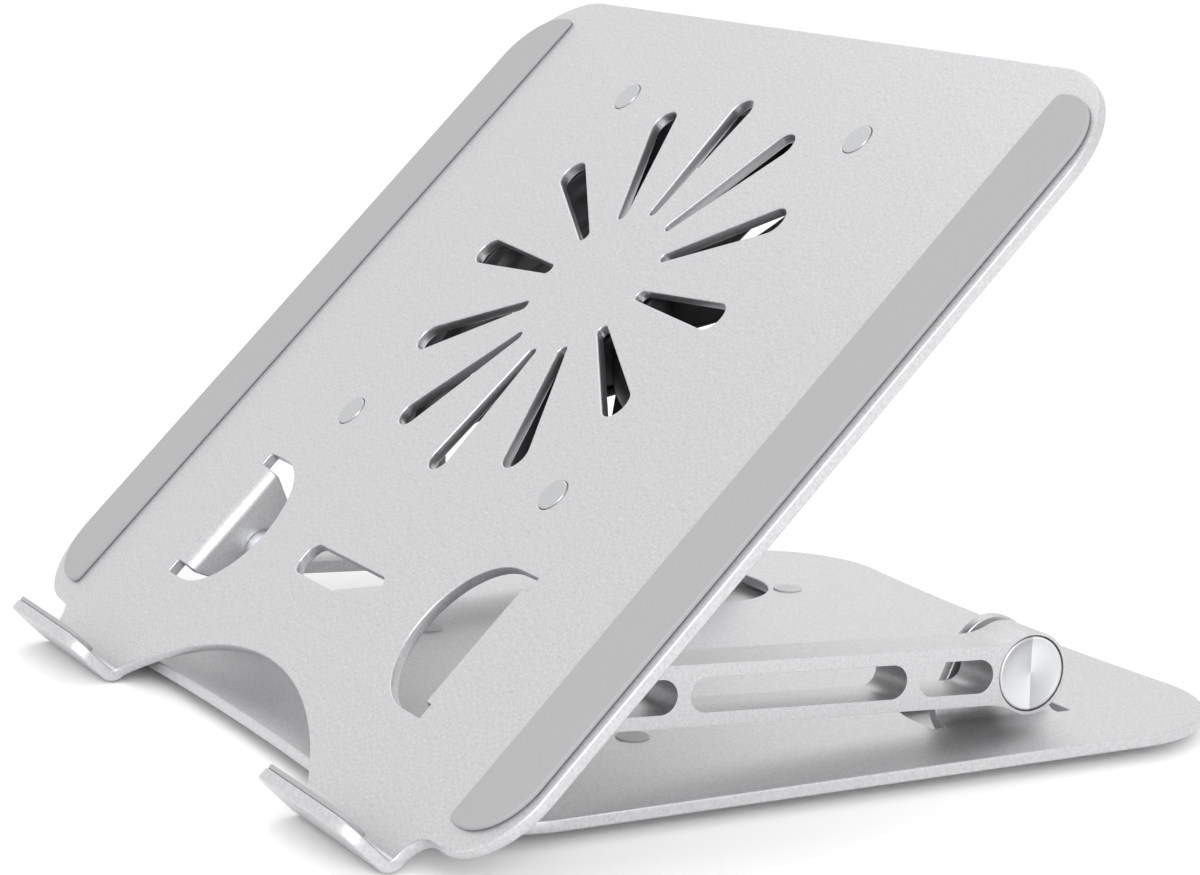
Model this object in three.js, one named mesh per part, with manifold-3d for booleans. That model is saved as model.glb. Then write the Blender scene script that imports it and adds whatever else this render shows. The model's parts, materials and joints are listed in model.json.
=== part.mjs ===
// Folding aluminium laptop stand with a cooling fan under its tray.
//
// Three flat or machined bodies make a folding Z: a base plate on the table, a pair of arms that
// rise from ears near its back, and a tray hinged on the front ends of the arms. The tray slopes
// up towards the back and carries a fan that blows through a ring of slots. Millimetres. X points
// to the user's right, Y to the back, Z up. The origin is the middle of the stand's outline on
// the table, seen from above.
//
// The tray and all that it carries sit in a group of their own, whose origin is the fan's centre
// on the top of the tray: there X is still sideways, Y runs up the slope and Z is the way the
// tray faces.

import * as THREE from 'three';
import { mergeVertices } from 'three/addons/utils/BufferGeometryUtils.js';
import Module from 'manifold-3d';

const wasm = await Module();
wasm.setup();

// ---- Driving dimensions ------------------------------------------------------------------

const gap = 0.3; // left between two pieces that touch
const traySkim = 0.45; // left between the tray's underside and the base's front edge

// Sheet metal, the same for the base and the tray
const sheet = 2.8;
const trayBendInner = 1.0; // inside radius of the tray's bends
const baseBendInner = 3.6;

// Attitude at rest
const trayTilt = THREE.MathUtils.degToRad(45);
const armSlope = THREE.MathUtils.degToRad(3.04);

// Base plate
const baseWidth = 197;
const baseDepth = 212.6;
const baseCornerRadius = 32;
const baseRearSag = 2.7; // how far the middle of the rear edge lies inside its ends
const baseFrontSag = 2.0;
const footHeight = 3.0;
const footRadius = 11;
const footInset = 20; // from the edges of the base to the middle of a foot
const footRim = 0.8;

// Tray, measured from the fan's centre
const trayWidth = 258;
const trayRear = 80.3;
const trayFront = 129.5;
const trayRearCornerRadius = 27;
const trayFrontCornerRadius = 19.5;
const trayScallop = 114.8; // the fan's centre to the middle of the scooped front edge

// Hooks that stop the laptop at the tray's front
const hookLength = 44.5;
const hookHeight = 14.2;
const hookReach = 139.8; // the fan's centre to the hooks' outer face
const hookSideMargin = 28.5; // a hook's outer end to the tray's side
const hookCornerRadius = 7;
const hookNotchRadius = 4.5;
const hookBendRunOn = 0.5; // the hooks' bend runs this far into the flat sheet

// Silicone pads on the tray
const padThickness = 0.8;
const sidePadWidth = 19;
const sidePadMargin = 2.4; // to the tray's side
const sidePadRearMargin = 7.6;
const sidePadFrontMargin = 5.5;
const sidePadOuterRadius = 15;
const sidePadInnerRadius = 2;
const hookPadLength = 38;
const hookPadHeight = 9;
const hookPadCornerRadius = 3.5;

// Slot across the middle of the tray
const crossSlotLength = 40;
const crossSlotWidth = 8.3;
const crossSlotRadius = 3.3;

// Ears, windows and hinges
const earInset = 29.3; // base's side to the ears' outer face
const earHeadRadius = 10;
const earRootHalf = 15.5;
const windowRadius = 19.2;
const windowStraight = 7.2; // from the ear's bend line to where the window turns round
const reliefDepth = 1.1;
const hingeOnTray = 90; // the fan's centre to the front hinge, down the slope
const hingeBelowTray = 14.7; // the tray's top face to the front hinge
const hingeAboveBase = 13.2; // the base's top face to the rear hinge
const pivotSpacing = 122;

// Arms
const armWidth = 12.5;
const armHeight = 13.6;
const armBarrelRadius = 9.5;
const armFilletRadius = 15;
const armSlotHeight = 7.7;
const armLongSlot = 54.9;
const armShortSlot = 19.8;
const armWeb = 3.25;

// Hinge hardware
const washerThickness = 1.7;
const washerRadius = 8;
const boltRadius = 3;
const boltHeadRadius = 6;
const boltHeadLength = 5.6;
const boltSocketRadius = 2.9;
const boltSocketDepth = 3.2;
const boltChamfer = 0.6;
const capRadius = 8.55;
const capThickness = 2.2;
const capChamfer = 0.3;
const capLip = 0.9;
const capDish = 0.35;

// Fan
const fanSize = 120;
const fanDepth = 15;
const fanHoleInset = 7.5; // from the fan's edges to the middle of a screw hole
const fanWall = 2;
const fanCornerRadius = 6;
const fanFlange = 3.2;
const fanHubRadius = 21;
const fanHubWall = 1.5;
const fanBladeCount = 7;
const fanBladeStart = THREE.MathUtils.degToRad(13); // the first blade's turn at rest
const fanBladeThickness = 1.5;
const fanBladeRootPitch = 42; // degrees
const fanBladeTipPitch = 26;
const fanBladeFill = 0.93; // share of the hub's depth that a blade spans
const fanBladeCamber = 0.09; // share of a blade's chord
const fanBladeDrop = 0.05; // share of its chord that a blade's edges lie lower, to centre it
const fanBladeSweep = 0.35; // radians from root to tip
const fanTipClearance = 1.5;
const fanStrutWidth = 5;
const strutRunIn = 1; // how far a strut runs into what it joins
const motorPlateThickness = 2.2;
const motorHeadroom = 2; // between the motor's still parts and the hub's inside
const boardThickness = 1.2;
const shaftRadius = 1.5;
const bearingWall = 2.2;
const holderWall = 1.1;
const magnetThickness = 2.4;
const statorCoreWall = 3;
const statorPoleCount = 4;
const statorPoleWidth = 9.6;
const statorPoleInset = 1.5; // the poles' ends to the stator's outline
const statorPoleStep = 0.8; // the core's ends to the poles

// Fan fastening
const studRadius = 2;
const studHeadRadius = 3.9;
const studProud = 0.3;
const studChamfer = 0.2;
const studBeyondNut = 1;
const nutAcrossFlats = 7;
const nutHeight = 3.2;

// Vents over the fan
const ventCount = 12;
const ventOuterRadius = 3.8;
const ventInnerRadius = 1.45;
const ventRim = 0; // between the fan's bore and the tips of the vents
const ventHubRim = 0; // between the fan's hub and the roots of the vents

// Power inlet of the fan
const inletWidth = 14;
const inletDepth = 9;
const inletHeight = 7;
const inletMouthWidth = 8;
const inletMouthHeight = 3;
const inletMouthDepth = 6;
const inletCornerRadius = 1;
const inletMouthRadius = 1.4;
const inletSide = 30; // the fan's middle to the inlet's middle, sideways

// Rest pads on the base
const restPadRadius = 3.8;
const restPadThickness = 0.4;
const restPadBehindWindow = 1.3; // the windows' rear ends to the middles of the rear rest pads

// Drawing
const turnSteps = 20; // facets of a turned piece
const cutBeyond = 1; // a cutting tool runs this far past what it cuts
const jointOverlap = 0.02; // two solids that become one run this far into each other

// ---- Places worked out from the driving dimensions -----------------------------------------

const trayBendOuter = trayBendInner + sheet;
const holeClearance = gap;

const trayHalf = trayWidth / 2;
const baseHalf = baseWidth / 2;
const baseTop = footHeight + gap + sheet;
const rearHingeZ = baseTop + hingeAboveBase;
const frontHingeZ = rearHingeZ + pivotSpacing * Math.sin(armSlope);
const tiltSin = Math.sin(trayTilt);
const tiltCos = Math.cos(trayTilt);

// From the fan's centre to the front hinge, across and down
const hingeBack = -hingeOnTray * tiltCos + hingeBelowTray * tiltSin;
const hingeDown = -hingeOnTray * tiltSin - hingeBelowTray * tiltCos;
const fanZ = frontHingeZ - hingeDown;

// The tray's underside passes just over the base's front edge
const underTrayReach = (sheet + traySkim) / tiltSin;
const baseFrontFromFan = (baseTop - fanZ) * tiltCos / tiltSin + underTrayReach;
const baseRearFromFan = baseFrontFromFan + baseDepth;
const hookTipFromFan = -hookReach * tiltCos - hookHeight * tiltSin;
const fanY = -(hookTipFromFan + baseRearFromFan) / 2;

const baseFront = fanY + baseFrontFromFan;
const baseRear = fanY + baseRearFromFan;
const frontHingeY = fanY + hingeBack;
const rearHingeY = frontHingeY + pivotSpacing * Math.cos(armSlope);

// Sideways layers of a hinge, from the middle of the stand outwards
const earOuter = baseHalf - earInset;
const earInner = earOuter - sheet;
const armInner = earOuter + washerThickness + 2 * gap;
const armOuter = armInner + armWidth;
const capInner = armOuter - capThickness;
const capSeat = capInner - gap;

const hookOuterEnd = trayHalf - hookSideMargin;
const hookInnerEnd = hookOuterEnd - hookLength;

// Heights in the fan, along the tray's normal
const underTray = -sheet;
const fanTop = underTray - gap;
const fanBottom = fanTop - fanDepth;
const fanHoleSpacing = fanSize - 2 * fanHoleInset;
const fanBoreRadius = fanSize / 2 - fanWall;
const motorPlateTop = fanBottom + motorPlateThickness;
const boardBottom = motorPlateTop + gap;
const boardTop = boardBottom + boardThickness;
const hubTop = fanTop - 2 * gap;
const hubInside = hubTop - fanHubWall;
const hubBottom = motorPlateTop + 4 * gap;
const motorTop = hubInside - motorHeadroom;
const sleeveRadius = shaftRadius + gap + bearingWall;
const holderRadius = sleeveRadius + gap + holderWall;
const magnetOuter = fanHubRadius - fanHubWall - gap;
const magnetInner = magnetOuter - magnetThickness;

// ---- Materials -------------------------------------------------------------------------------

function material(color, roughness, metalness) {
  return new THREE.MeshStandardMaterial({ color, roughness, metalness });
}

const blastedAluminium = material(0xd9dadc, 0.42, 1.0);
const turnedAluminium = material(0xe4e5e7, 0.28, 1.0);
const greySilicone = material(0xb4b5b7, 0.85, 0.0);
const blackPlastic = material(0x17181a, 0.5, 0.0);
const zincSteel = material(0xb9babd, 0.35, 1.0);
const nylon = material(0xe6e4de, 0.6, 0.0);
const bronze = material(0xa97b42, 0.4, 1.0);
const ferrite = material(0x3b3a3c, 0.8, 0.0);
const copperWinding = material(0x9a5527, 0.4, 1.0);
const boardGreen = material(0x1f5a38, 0.5, 0.0);

// ---- Solids ----------------------------------------------------------------------------------

// Keeps positions only, with shared corners merged and flat slivers dropped.
function bare(geometry) {
  const copy = geometry.clone();
  copy.deleteAttribute('normal');
  copy.deleteAttribute('uv');
  const merged = mergeVertices(copy, 1e-4);
  const index = merged.index.array;
  const kept = [];
  for (let i = 0; i < index.length; i += 3) {
    const [a, b, c] = [index[i], index[i + 1], index[i + 2]];
    if (a !== b && b !== c && c !== a) kept.push(a, b, c);
  }
  merged.setIndex(kept);
  return merged;
}

function toManifold(geometry) {
  const merged = bare(geometry);
  return new wasm.Manifold(new wasm.Mesh({
    numProp: 3,
    vertProperties: new Float32Array(merged.attributes.position.array),
    triVerts: new Uint32Array(merged.index.array),
  }));
}

function toGeometry(manifold) {
  const mesh = manifold.getMesh();
  const geometry = new THREE.BufferGeometry();
  const stride = mesh.numProp;
  const points = new Float32Array(mesh.vertProperties.length / stride * 3);
  for (let i = 0; i < points.length / 3; i++) {
    points.set(mesh.vertProperties.slice(i * stride, i * stride + 3), i * 3);
  }
  geometry.setAttribute('position', new THREE.BufferAttribute(points, 3));
  geometry.setIndex(Array.from(mesh.triVerts));
  return geometry;
}

function join(...parts) {
  return toGeometry(parts.map(toManifold).reduce((whole, part) => whole.add(part)));
}

function cut(body, ...tools) {
  const left = tools.map(toManifold).reduce((whole, tool) => whole.subtract(tool), toManifold(body));
  return toGeometry(left);
}

// The same solid on the other side of the stand's middle plane.
function mirrored(geometry) {
  const copy = bare(geometry);
  copy.scale(-1, 1, 1);
  const index = Array.from(copy.index.array);
  for (let i = 0; i < index.length; i += 3) {
    [index[i + 1], index[i + 2]] = [index[i + 2], index[i + 1]];
  }
  copy.setIndex(index);
  return copy;
}

function onSide(geometry, side) {
  return side > 0 ? geometry : mirrored(geometry);
}

// A flat outline given thickness from z = bottom to z = top. Each arc takes 2 * detail steps.
function slab(shape, bottom, top, detail = 5) {
  const options = { depth: top - bottom, bevelEnabled: false, curveSegments: detail };
  return new THREE.ExtrudeGeometry(shape, options).translate(0, 0, bottom);
}

const crosswise = new THREE.Matrix4().makeBasis(
  new THREE.Vector3(0, 1, 0), new THREE.Vector3(0, 0, 1), new THREE.Vector3(1, 0, 0));
const lengthwise = new THREE.Matrix4().makeBasis(
  new THREE.Vector3(1, 0, 0), new THREE.Vector3(0, 0, 1), new THREE.Vector3(0, -1, 0));

// An outline in Y and Z, given thickness from x = from to x = to.
function crossSlab(shape, from, to, detail = 5) {
  return slab(shape, from, to, detail).applyMatrix4(crosswise);
}

// A profile in X and Z, run along Y between two places.
function run(shape, from, to, detail = 4) {
  return slab(shape, -to, -from, detail).applyMatrix4(lengthwise);
}

// A slab with holes cut right through it.
function piercedSlab(shape, holes, bottom, top) {
  const tools = holes.map((hole) => slab(hole, bottom - cutBeyond, top + cutBeyond));
  return cut(slab(shape, bottom, top), ...tools);
}

// Adds a full circle in several arcs, so that large circles come out finer.
function addCircle(path, x, y, radius, arcs = 1) {
  const step = 2 * Math.PI / arcs;
  path.moveTo(x + radius, y);
  for (let i = 0; i < arcs; i++) path.absarc(x, y, radius, i * step, (i + 1) * step);
  return path;
}

function circle(x, y, radius, arcs = 1) {
  return addCircle(new THREE.Shape(), x, y, radius, arcs);
}

function disc(radius, bottom, top, arcs = 2) {
  return slab(circle(0, 0, radius, arcs), bottom, top);
}

function ring(outer, inner, bottom, top, arcs = 2) {
  const shape = circle(0, 0, outer, arcs);
  shape.holes.push(addCircle(new THREE.Path(), 0, 0, inner, arcs));
  return slab(shape, bottom, top);
}

// Turns a profile of radius and height about the Z axis.
function turned(profile) {
  const points = profile.map(([radius, height]) => new THREE.Vector2(radius, height));
  return bare(new THREE.LatheGeometry(points, turnSteps).rotateX(Math.PI / 2));
}

// A regular hexagon about the origin.
function hexagon(cornerRadius) {
  const shape = new THREE.Shape();
  for (let i = 0; i <= 6; i++) {
    const angle = i * Math.PI / 3;
    const point = [cornerRadius * Math.cos(angle), cornerRadius * Math.sin(angle)];
    if (i === 0) shape.moveTo(...point);
    else shape.lineTo(...point);
  }
  return shape;
}

function crossDisc(radius, from, to, y, z) {
  return crossSlab(circle(y, z, radius, 2), from, to);
}

// The outline round two circles on a line from the origin at `angle`, one nearer than the other.
function slotShape(angle, near, nearRadius, far, farRadius) {
  const spread = Math.acos((nearRadius - farRadius) / (far - near));
  const [c, s] = [Math.cos(angle), Math.sin(angle)];
  const shape = new THREE.Shape();
  shape.absarc(far * c, far * s, farRadius, angle - spread, angle + spread);
  shape.absarc(near * c, near * s, nearRadius, angle + spread, angle - spread + 2 * Math.PI);
  shape.closePath();
  return shape;
}

function roundedRectangle(x0, y0, x1, y1, radius) {
  const quarter = Math.PI / 2;
  const path = new THREE.Shape();
  path.absarc(x1 - radius, y0 + radius, radius, -quarter, 0);
  path.absarc(x1 - radius, y1 - radius, radius, 0, quarter);
  path.absarc(x0 + radius, y1 - radius, radius, quarter, 2 * quarter);
  path.absarc(x0 + radius, y0 + radius, radius, 2 * quarter, 3 * quarter);
  path.closePath();
  return path;
}

// ---- Sheet-metal features shared by the base and the tray -------------------------------------

// D-shaped window between an ear and the stand's middle: straight on the ear's side, with a
// relief cut past each end of the bend, and round on the other.
function windowShape(side, bendLine, centreY) {
  const straightX = side * (bendLine + reliefDepth);
  const roundX = side * (bendLine - windowStraight);
  const turn = side > 0 ? Math.PI : 0;
  const startY = centreY + side * windowRadius;
  const path = new THREE.Shape();
  path.moveTo(straightX, startY);
  path.absarc(roundX, centreY, windowRadius, turn - Math.PI / 2, turn + Math.PI / 2, false);
  path.lineTo(straightX, 2 * centreY - startY);
  path.closePath();
  return path;
}

// An ear's outline about its hinge: a round head whose sides run out to the root.
function earShape(y, z, rootZ) {
  const rise = rootZ - z;
  const up = Math.sign(rise);
  const reach = Math.hypot(earRootHalf, rise);
  const touch = Math.atan2(Math.abs(rise), earRootHalf) - Math.acos(earHeadRadius / reach);
  const shape = new THREE.Shape();
  shape.moveTo(y + earRootHalf, rootZ);
  shape.lineTo(y - earRootHalf, rootZ);
  if (up > 0) shape.absarc(y, z, earHeadRadius, Math.PI - touch, touch + 2 * Math.PI, false);
  else shape.absarc(y, z, earHeadRadius, Math.PI + touch, -touch, true);
  shape.closePath();
  shape.holes.push(addCircle(new THREE.Path(), y, z, boltRadius + holeClearance));
  return shape;
}

// Quarter-round bend profile in X and Z, with a stub that runs on into the flat sheet. It bends
// about (x, z) from the flat at angle `flat` to the ear at angle `upright`.
function bendShape(x, z, inner, flat, upright, stub) {
  const outer = inner + sheet;
  const clockwise = upright < flat;
  const shape = new THREE.Shape();
  shape.moveTo(x + outer * Math.cos(upright), z + outer * Math.sin(upright));
  shape.absarc(x, z, outer, upright, flat, !clockwise);
  shape.lineTo(x + stub, z + outer * Math.sin(flat));
  shape.lineTo(x + stub, z + inner * Math.sin(flat));
  shape.absarc(x, z, inner, flat, upright, clockwise);
  shape.closePath();
  return shape;
}

// ---- Base --------------------------------------------------------------------------------------

// Edge that sags between two corner circles: one arc that touches both.
function sagArc(edgeY, sag, sign) {
  const cornerX = baseHalf - baseCornerRadius;
  const cornerY = edgeY - sign * baseCornerRadius;
  const a = sign * cornerY;
  const b = sign * edgeY - sag - baseCornerRadius;
  const centre = (cornerX * cornerX + a * a - b * b) / (2 * (a - b));
  const centreY = sign * centre;
  return {
    cornerX,
    cornerY,
    centreY,
    radius: centre - (sign * edgeY - sag),
    lean: Math.atan2(cornerX, centre - a),
  };
}

function baseOutline() {
  const quarter = Math.PI / 2;
  const rear = sagArc(baseRear, baseRearSag, 1);
  const front = sagArc(baseFront, baseFrontSag, -1);
  const radius = baseCornerRadius;
  const shape = new THREE.Shape();
  shape.absarc(front.cornerX, front.cornerY, radius, front.lean - quarter, 0, false);
  shape.absarc(rear.cornerX, rear.cornerY, radius, 0, quarter + rear.lean, false);
  shape.absarc(0, rear.centreY, rear.radius, rear.lean - quarter, -rear.lean - quarter, true);
  shape.absarc(-rear.cornerX, rear.cornerY, radius, quarter - rear.lean, 2 * quarter, false);
  shape.absarc(-front.cornerX, front.cornerY, radius, 2 * quarter, 3 * quarter - front.lean, false);
  shape.absarc(0, front.centreY, front.radius, quarter + front.lean, quarter - front.lean, true);
  shape.closePath();
  return shape;
}

// The rear pads stand just behind the windows and the front pads one screw square ahead, which is
// where the fan's screws come down when the stand is folded flat.
function restPadPlaces() {
  const half = fanHoleSpacing / 2;
  const rearY = rearHingeY + windowRadius + restPadBehindWindow;
  const frontY = rearY - fanHoleSpacing;
  return [
    ['front_left', -half, frontY],
    ['front_right', half, frontY],
    ['rear_left', -half, rearY],
    ['rear_right', half, rearY],
  ];
}

function footPlaces() {
  const x = baseHalf - footInset;
  return [
    ['front_left', -x, baseFront + footInset],
    ['front_right', x, baseFront + footInset],
    ['rear_left', -x, baseRear - footInset],
    ['rear_right', x, baseRear - footInset],
  ];
}

function makeBasePlate() {
  const bendCentreX = earOuter + baseBendInner;
  const bendCentreZ = baseTop + baseBendInner;
  const holes = [-1, 1].map((side) => windowShape(side, bendCentreX, rearHingeY));
  const plate = piercedSlab(baseOutline(), holes, baseTop - sheet, baseTop);
  const stub = 2 * reliefDepth;
  const bend = run(bendShape(bendCentreX, bendCentreZ, baseBendInner, -Math.PI / 2, -Math.PI, stub),
    rearHingeY - earRootHalf, rearHingeY + earRootHalf);
  const earRoot = bendCentreZ - jointOverlap;
  const ear = crossSlab(earShape(rearHingeY, rearHingeZ, earRoot), earInner, earOuter);
  const folded = join(ear, bend);
  return join(plate, folded, mirrored(folded));
}

// A foot is a round pad with its lower rim turned in.
function makeFoot(x, y) {
  const profile = [
    [0, 0],
    [footRadius - footRim, 0],
    [footRadius, footRim],
    [footRadius, footHeight],
    [0, footHeight],
  ];
  return turned(profile).translate(x, y, 0);
}

// ---- Tray --------------------------------------------------------------------------------------

function trayOutline() {
  const quarter = Math.PI / 2;
  const bendStart = hookReach - trayBendOuter;
  const depth = bendStart - trayScallop;
  const scallopRadius = (hookInnerEnd * hookInnerEnd + depth * depth) / (2 * depth);
  const half = Math.asin(hookInnerEnd / scallopRadius);
  const front = trayFrontCornerRadius;
  const rear = trayRearCornerRadius;
  const notchX = hookOuterEnd + hookNotchRadius;
  const notchY = -trayFront - hookNotchRadius;
  const shape = new THREE.Shape();
  shape.moveTo(hookOuterEnd, -bendStart);
  shape.absarc(notchX, notchY, hookNotchRadius, Math.PI, quarter, true);
  shape.absarc(trayHalf - front, -trayFront + front, front, -quarter, 0, false);
  shape.absarc(trayHalf - rear, trayRear - rear, rear, 0, quarter, false);
  shape.absarc(-trayHalf + rear, trayRear - rear, rear, quarter, 2 * quarter, false);
  shape.absarc(-trayHalf + front, -trayFront + front, front, 2 * quarter, 3 * quarter, false);
  shape.absarc(-notchX, notchY, hookNotchRadius, quarter, 0, true);
  shape.lineTo(-hookOuterEnd, -bendStart);
  shape.lineTo(-hookInnerEnd, -bendStart);
  shape.absarc(0, -trayScallop - scallopRadius, scallopRadius, quarter + half, quarter - half, true);
  shape.lineTo(hookInnerEnd, -bendStart);
  shape.closePath();
  return shape;
}

function fanScrewPlaces() {
  const half = fanHoleSpacing / 2;
  return [[half, half], [-half, half], [-half, -half], [half, -half]];
}

function ventShapes() {
  const far = fanBoreRadius - ventRim - ventOuterRadius;
  const near = fanHubRadius + ventHubRim + ventInnerRadius;
  const angles = Array.from({ length: ventCount }, (_, i) => Math.PI / 2 + i * 2 * Math.PI / ventCount);
  return angles.map((angle) => slotShape(angle, near, ventInnerRadius, far, ventOuterRadius));
}

// A hook is the sheet's front edge bent up, with its top corners rounded off.
function makeHook() {
  const centreY = -hookReach + trayBendOuter;
  const quarter = Math.PI / 2;
  const radius = hookCornerRadius;
  const shoulder = hookHeight - radius;
  const foot = trayBendInner - jointOverlap;
  const leg = new THREE.Shape();
  leg.moveTo(hookOuterEnd, foot);
  leg.absarc(hookOuterEnd - radius, shoulder, radius, 0, quarter, false);
  leg.absarc(hookInnerEnd + radius, shoulder, radius, quarter, 2 * quarter, false);
  leg.lineTo(hookInnerEnd, foot);
  leg.closePath();
  const upright = run(leg, -hookReach, -hookReach + sheet, 6);
  const bend = new THREE.Shape();
  bend.moveTo(centreY - trayBendOuter, trayBendInner);
  bend.absarc(centreY, trayBendInner, trayBendOuter, Math.PI, 3 * quarter, false);
  bend.lineTo(centreY + hookBendRunOn, -sheet);
  bend.lineTo(centreY + hookBendRunOn, 0);
  bend.absarc(centreY, trayBendInner, trayBendInner, 3 * quarter, Math.PI, true);
  bend.closePath();
  return join(upright, crossSlab(bend, hookInnerEnd, hookOuterEnd, 4));
}

function makeTrayPlate() {
  const bendCentreX = earOuter + trayBendInner;
  const bendCentreZ = underTray - trayBendInner;
  const crossSlot = roundedRectangle(-crossSlotLength / 2, -hingeOnTray - crossSlotWidth / 2,
    crossSlotLength / 2, -hingeOnTray + crossSlotWidth / 2, crossSlotRadius);
  const windows = [-1, 1].map((side) => windowShape(side, bendCentreX, -hingeOnTray));
  const studHoles = fanScrewPlaces().map(([x, y]) => circle(x, y, studHeadRadius + gap));
  const holes = [crossSlot, ...windows, ...studHoles, ...ventShapes()];
  const plate = piercedSlab(trayOutline(), holes, underTray, 0);
  const stub = 2 * reliefDepth;
  const bend = run(bendShape(bendCentreX, bendCentreZ, trayBendInner, Math.PI / 2, Math.PI, stub),
    -hingeOnTray - earRootHalf, -hingeOnTray + earRootHalf);
  const earRoot = bendCentreZ + jointOverlap;
  const ear = crossSlab(earShape(-hingeOnTray, -hingeBelowTray, earRoot), earInner, earOuter);
  const folded = join(ear, bend, makeHook());
  return join(plate, folded, mirrored(folded));
}

function makeSidePad() {
  const quarter = Math.PI / 2;
  const outer = trayHalf - sidePadMargin;
  const inner = outer - sidePadWidth;
  const rear = trayRear - sidePadRearMargin;
  const front = -trayFront + sidePadFrontMargin;
  const big = sidePadOuterRadius;
  const small = sidePadInnerRadius;
  const shape = new THREE.Shape();
  shape.absarc(outer - big, front + big, big, -quarter, 0, false);
  shape.absarc(outer - big, rear - big, big, 0, quarter, false);
  shape.absarc(inner + small, rear - small, small, quarter, 2 * quarter, false);
  shape.absarc(inner + small, front + small, small, 2 * quarter, 3 * quarter, false);
  shape.closePath();
  return slab(shape, gap, gap + padThickness, 6);
}

function makeHookPad() {
  const middle = (hookOuterEnd + hookInnerEnd) / 2;
  const shape = roundedRectangle(middle - hookPadLength / 2, hookHeight - hookPadHeight,
    middle + hookPadLength / 2, hookHeight, hookPadCornerRadius);
  const face = -hookReach + sheet + gap;
  return run(shape, face, face + padThickness, 4);
}

// ---- Arms and hinges ---------------------------------------------------------------------------

// An arm lies along its own axis from the rear hinge at 0 to the front hinge at -pivotSpacing.
function makeArm() {
  const half = armHeight / 2;
  const filletZ = half + armFilletRadius;
  const reach = armBarrelRadius + armFilletRadius;
  const filletY = Math.sqrt(reach * reach - filletZ * filletZ);
  const touch = Math.atan2(filletZ, filletY);
  const far = -pivotSpacing;
  const turn = Math.PI;
  const shape = new THREE.Shape();
  shape.absarc(0, 0, armBarrelRadius, touch - turn, turn - touch, false);
  shape.absarc(-filletY, filletZ, armFilletRadius, -touch, -turn / 2, true);
  shape.absarc(far + filletY, filletZ, armFilletRadius, -turn / 2, touch - turn, true);
  shape.absarc(far, 0, armBarrelRadius, touch, 2 * turn - touch, false);
  shape.absarc(far + filletY, -filletZ, armFilletRadius, turn - touch, turn / 2, true);
  shape.absarc(-filletY, -filletZ, armFilletRadius, turn / 2, touch, true);
  shape.closePath();
  const middle = far / 2;
  const radius = armSlotHeight / 2;
  const longEnd = armLongSlot / 2;
  const shortStart = longEnd + armWeb;
  const slots = [
    [middle - longEnd, middle + longEnd],
    [middle + shortStart, middle + shortStart + armShortSlot],
    [middle - shortStart - armShortSlot, middle - shortStart],
  ];
  const holes = slots.map(([from, to]) => slotShape(0, from + radius, radius, to - radius, radius));
  for (const y of [0, far]) holes.push(circle(y, 0, boltRadius + holeClearance));
  const bar = piercedSlab(shape, holes, armInner, armOuter).applyMatrix4(crosswise);
  const seatRadius = capRadius + gap;
  const recesses = [0, far].map((y) => crossDisc(seatRadius, capSeat, armOuter + cutBeyond, y, 0));
  return cut(bar, ...recesses);
}

// A turned cap with a shallow dish in its face.
function makeCap() {
  const profile = [
    [0, 0],
    [capRadius, 0],
    [capRadius, capThickness - capChamfer],
    [capRadius - capChamfer, capThickness],
    [capRadius - capLip, capThickness],
    [capRadius - capLip - capDish, capThickness - capDish],
    [0, capThickness - capDish],
  ];
  return turned(profile).rotateY(Math.PI / 2).translate(capInner, 0, 0);
}

// A socket-head bolt: its head lies against the ear's inner face and its shank ends in the arm.
function makeBolt() {
  const headOuter = earInner - gap;
  const headInner = headOuter - boltHeadLength;
  const length = capSeat - gap - headInner;
  const profile = [
    [0, 0],
    [boltHeadRadius - boltChamfer, 0],
    [boltHeadRadius, boltChamfer],
    [boltHeadRadius, boltHeadLength],
    [boltRadius, boltHeadLength],
    [boltRadius, length],
    [0, length],
  ];
  const body = turned(profile).rotateY(Math.PI / 2).translate(headInner, 0, 0);
  const socketEnd = headInner + boltSocketDepth;
  return cut(body, crossSlab(hexagon(boltSocketRadius), headInner - cutBeyond, socketEnd));
}

function makeWasher() {
  const shape = circle(0, 0, washerRadius, 2);
  shape.holes.push(addCircle(new THREE.Path(), 0, 0, boltRadius + holeClearance, 1));
  return crossSlab(shape, earOuter + gap, earOuter + gap + washerThickness);
}

// ---- Fan ---------------------------------------------------------------------------------------

function makeFanFrame() {
  const half = fanSize / 2;
  const flange = roundedRectangle(-half, -half, half, half, fanCornerRadius);
  flange.holes.push(addCircle(new THREE.Path(), 0, 0, fanBoreRadius, 4));
  const parts = [
    slab(flange, fanTop - fanFlange, fanTop),
    slab(flange, fanBottom, fanBottom + fanFlange),
    ring(half, fanBoreRadius, fanBottom, fanTop, 4),
    disc(fanHubRadius, fanBottom, motorPlateTop, 3),
    disc(holderRadius, fanBottom, motorTop, 1),
  ];
  const lugRadius = studRadius + 2 * fanWall;
  for (const [x, y] of fanScrewPlaces()) {
    parts.push(disc(lugRadius, fanBottom, fanTop, 1).translate(x, y, 0));
    const outward = Math.atan2(y, x);
    const length = fanBoreRadius - fanHubRadius + 2 * strutRunIn;
    const strut = new THREE.BoxGeometry(length, fanStrutWidth, motorPlateThickness);
    strut.translate((fanBoreRadius + fanHubRadius) / 2, 0, fanBottom + motorPlateThickness / 2);
    parts.push(strut.rotateZ(outward));
  }
  const holes = [disc(sleeveRadius + gap, motorPlateTop, fanTop, 1)];
  for (const [x, y] of fanScrewPlaces()) {
    const hole = disc(studRadius + gap, fanBottom - cutBeyond, fanTop + cutBeyond, 1);
    holes.push(hole.translate(x, y, 0));
  }
  return cut(join(...parts), ...holes);
}

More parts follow.
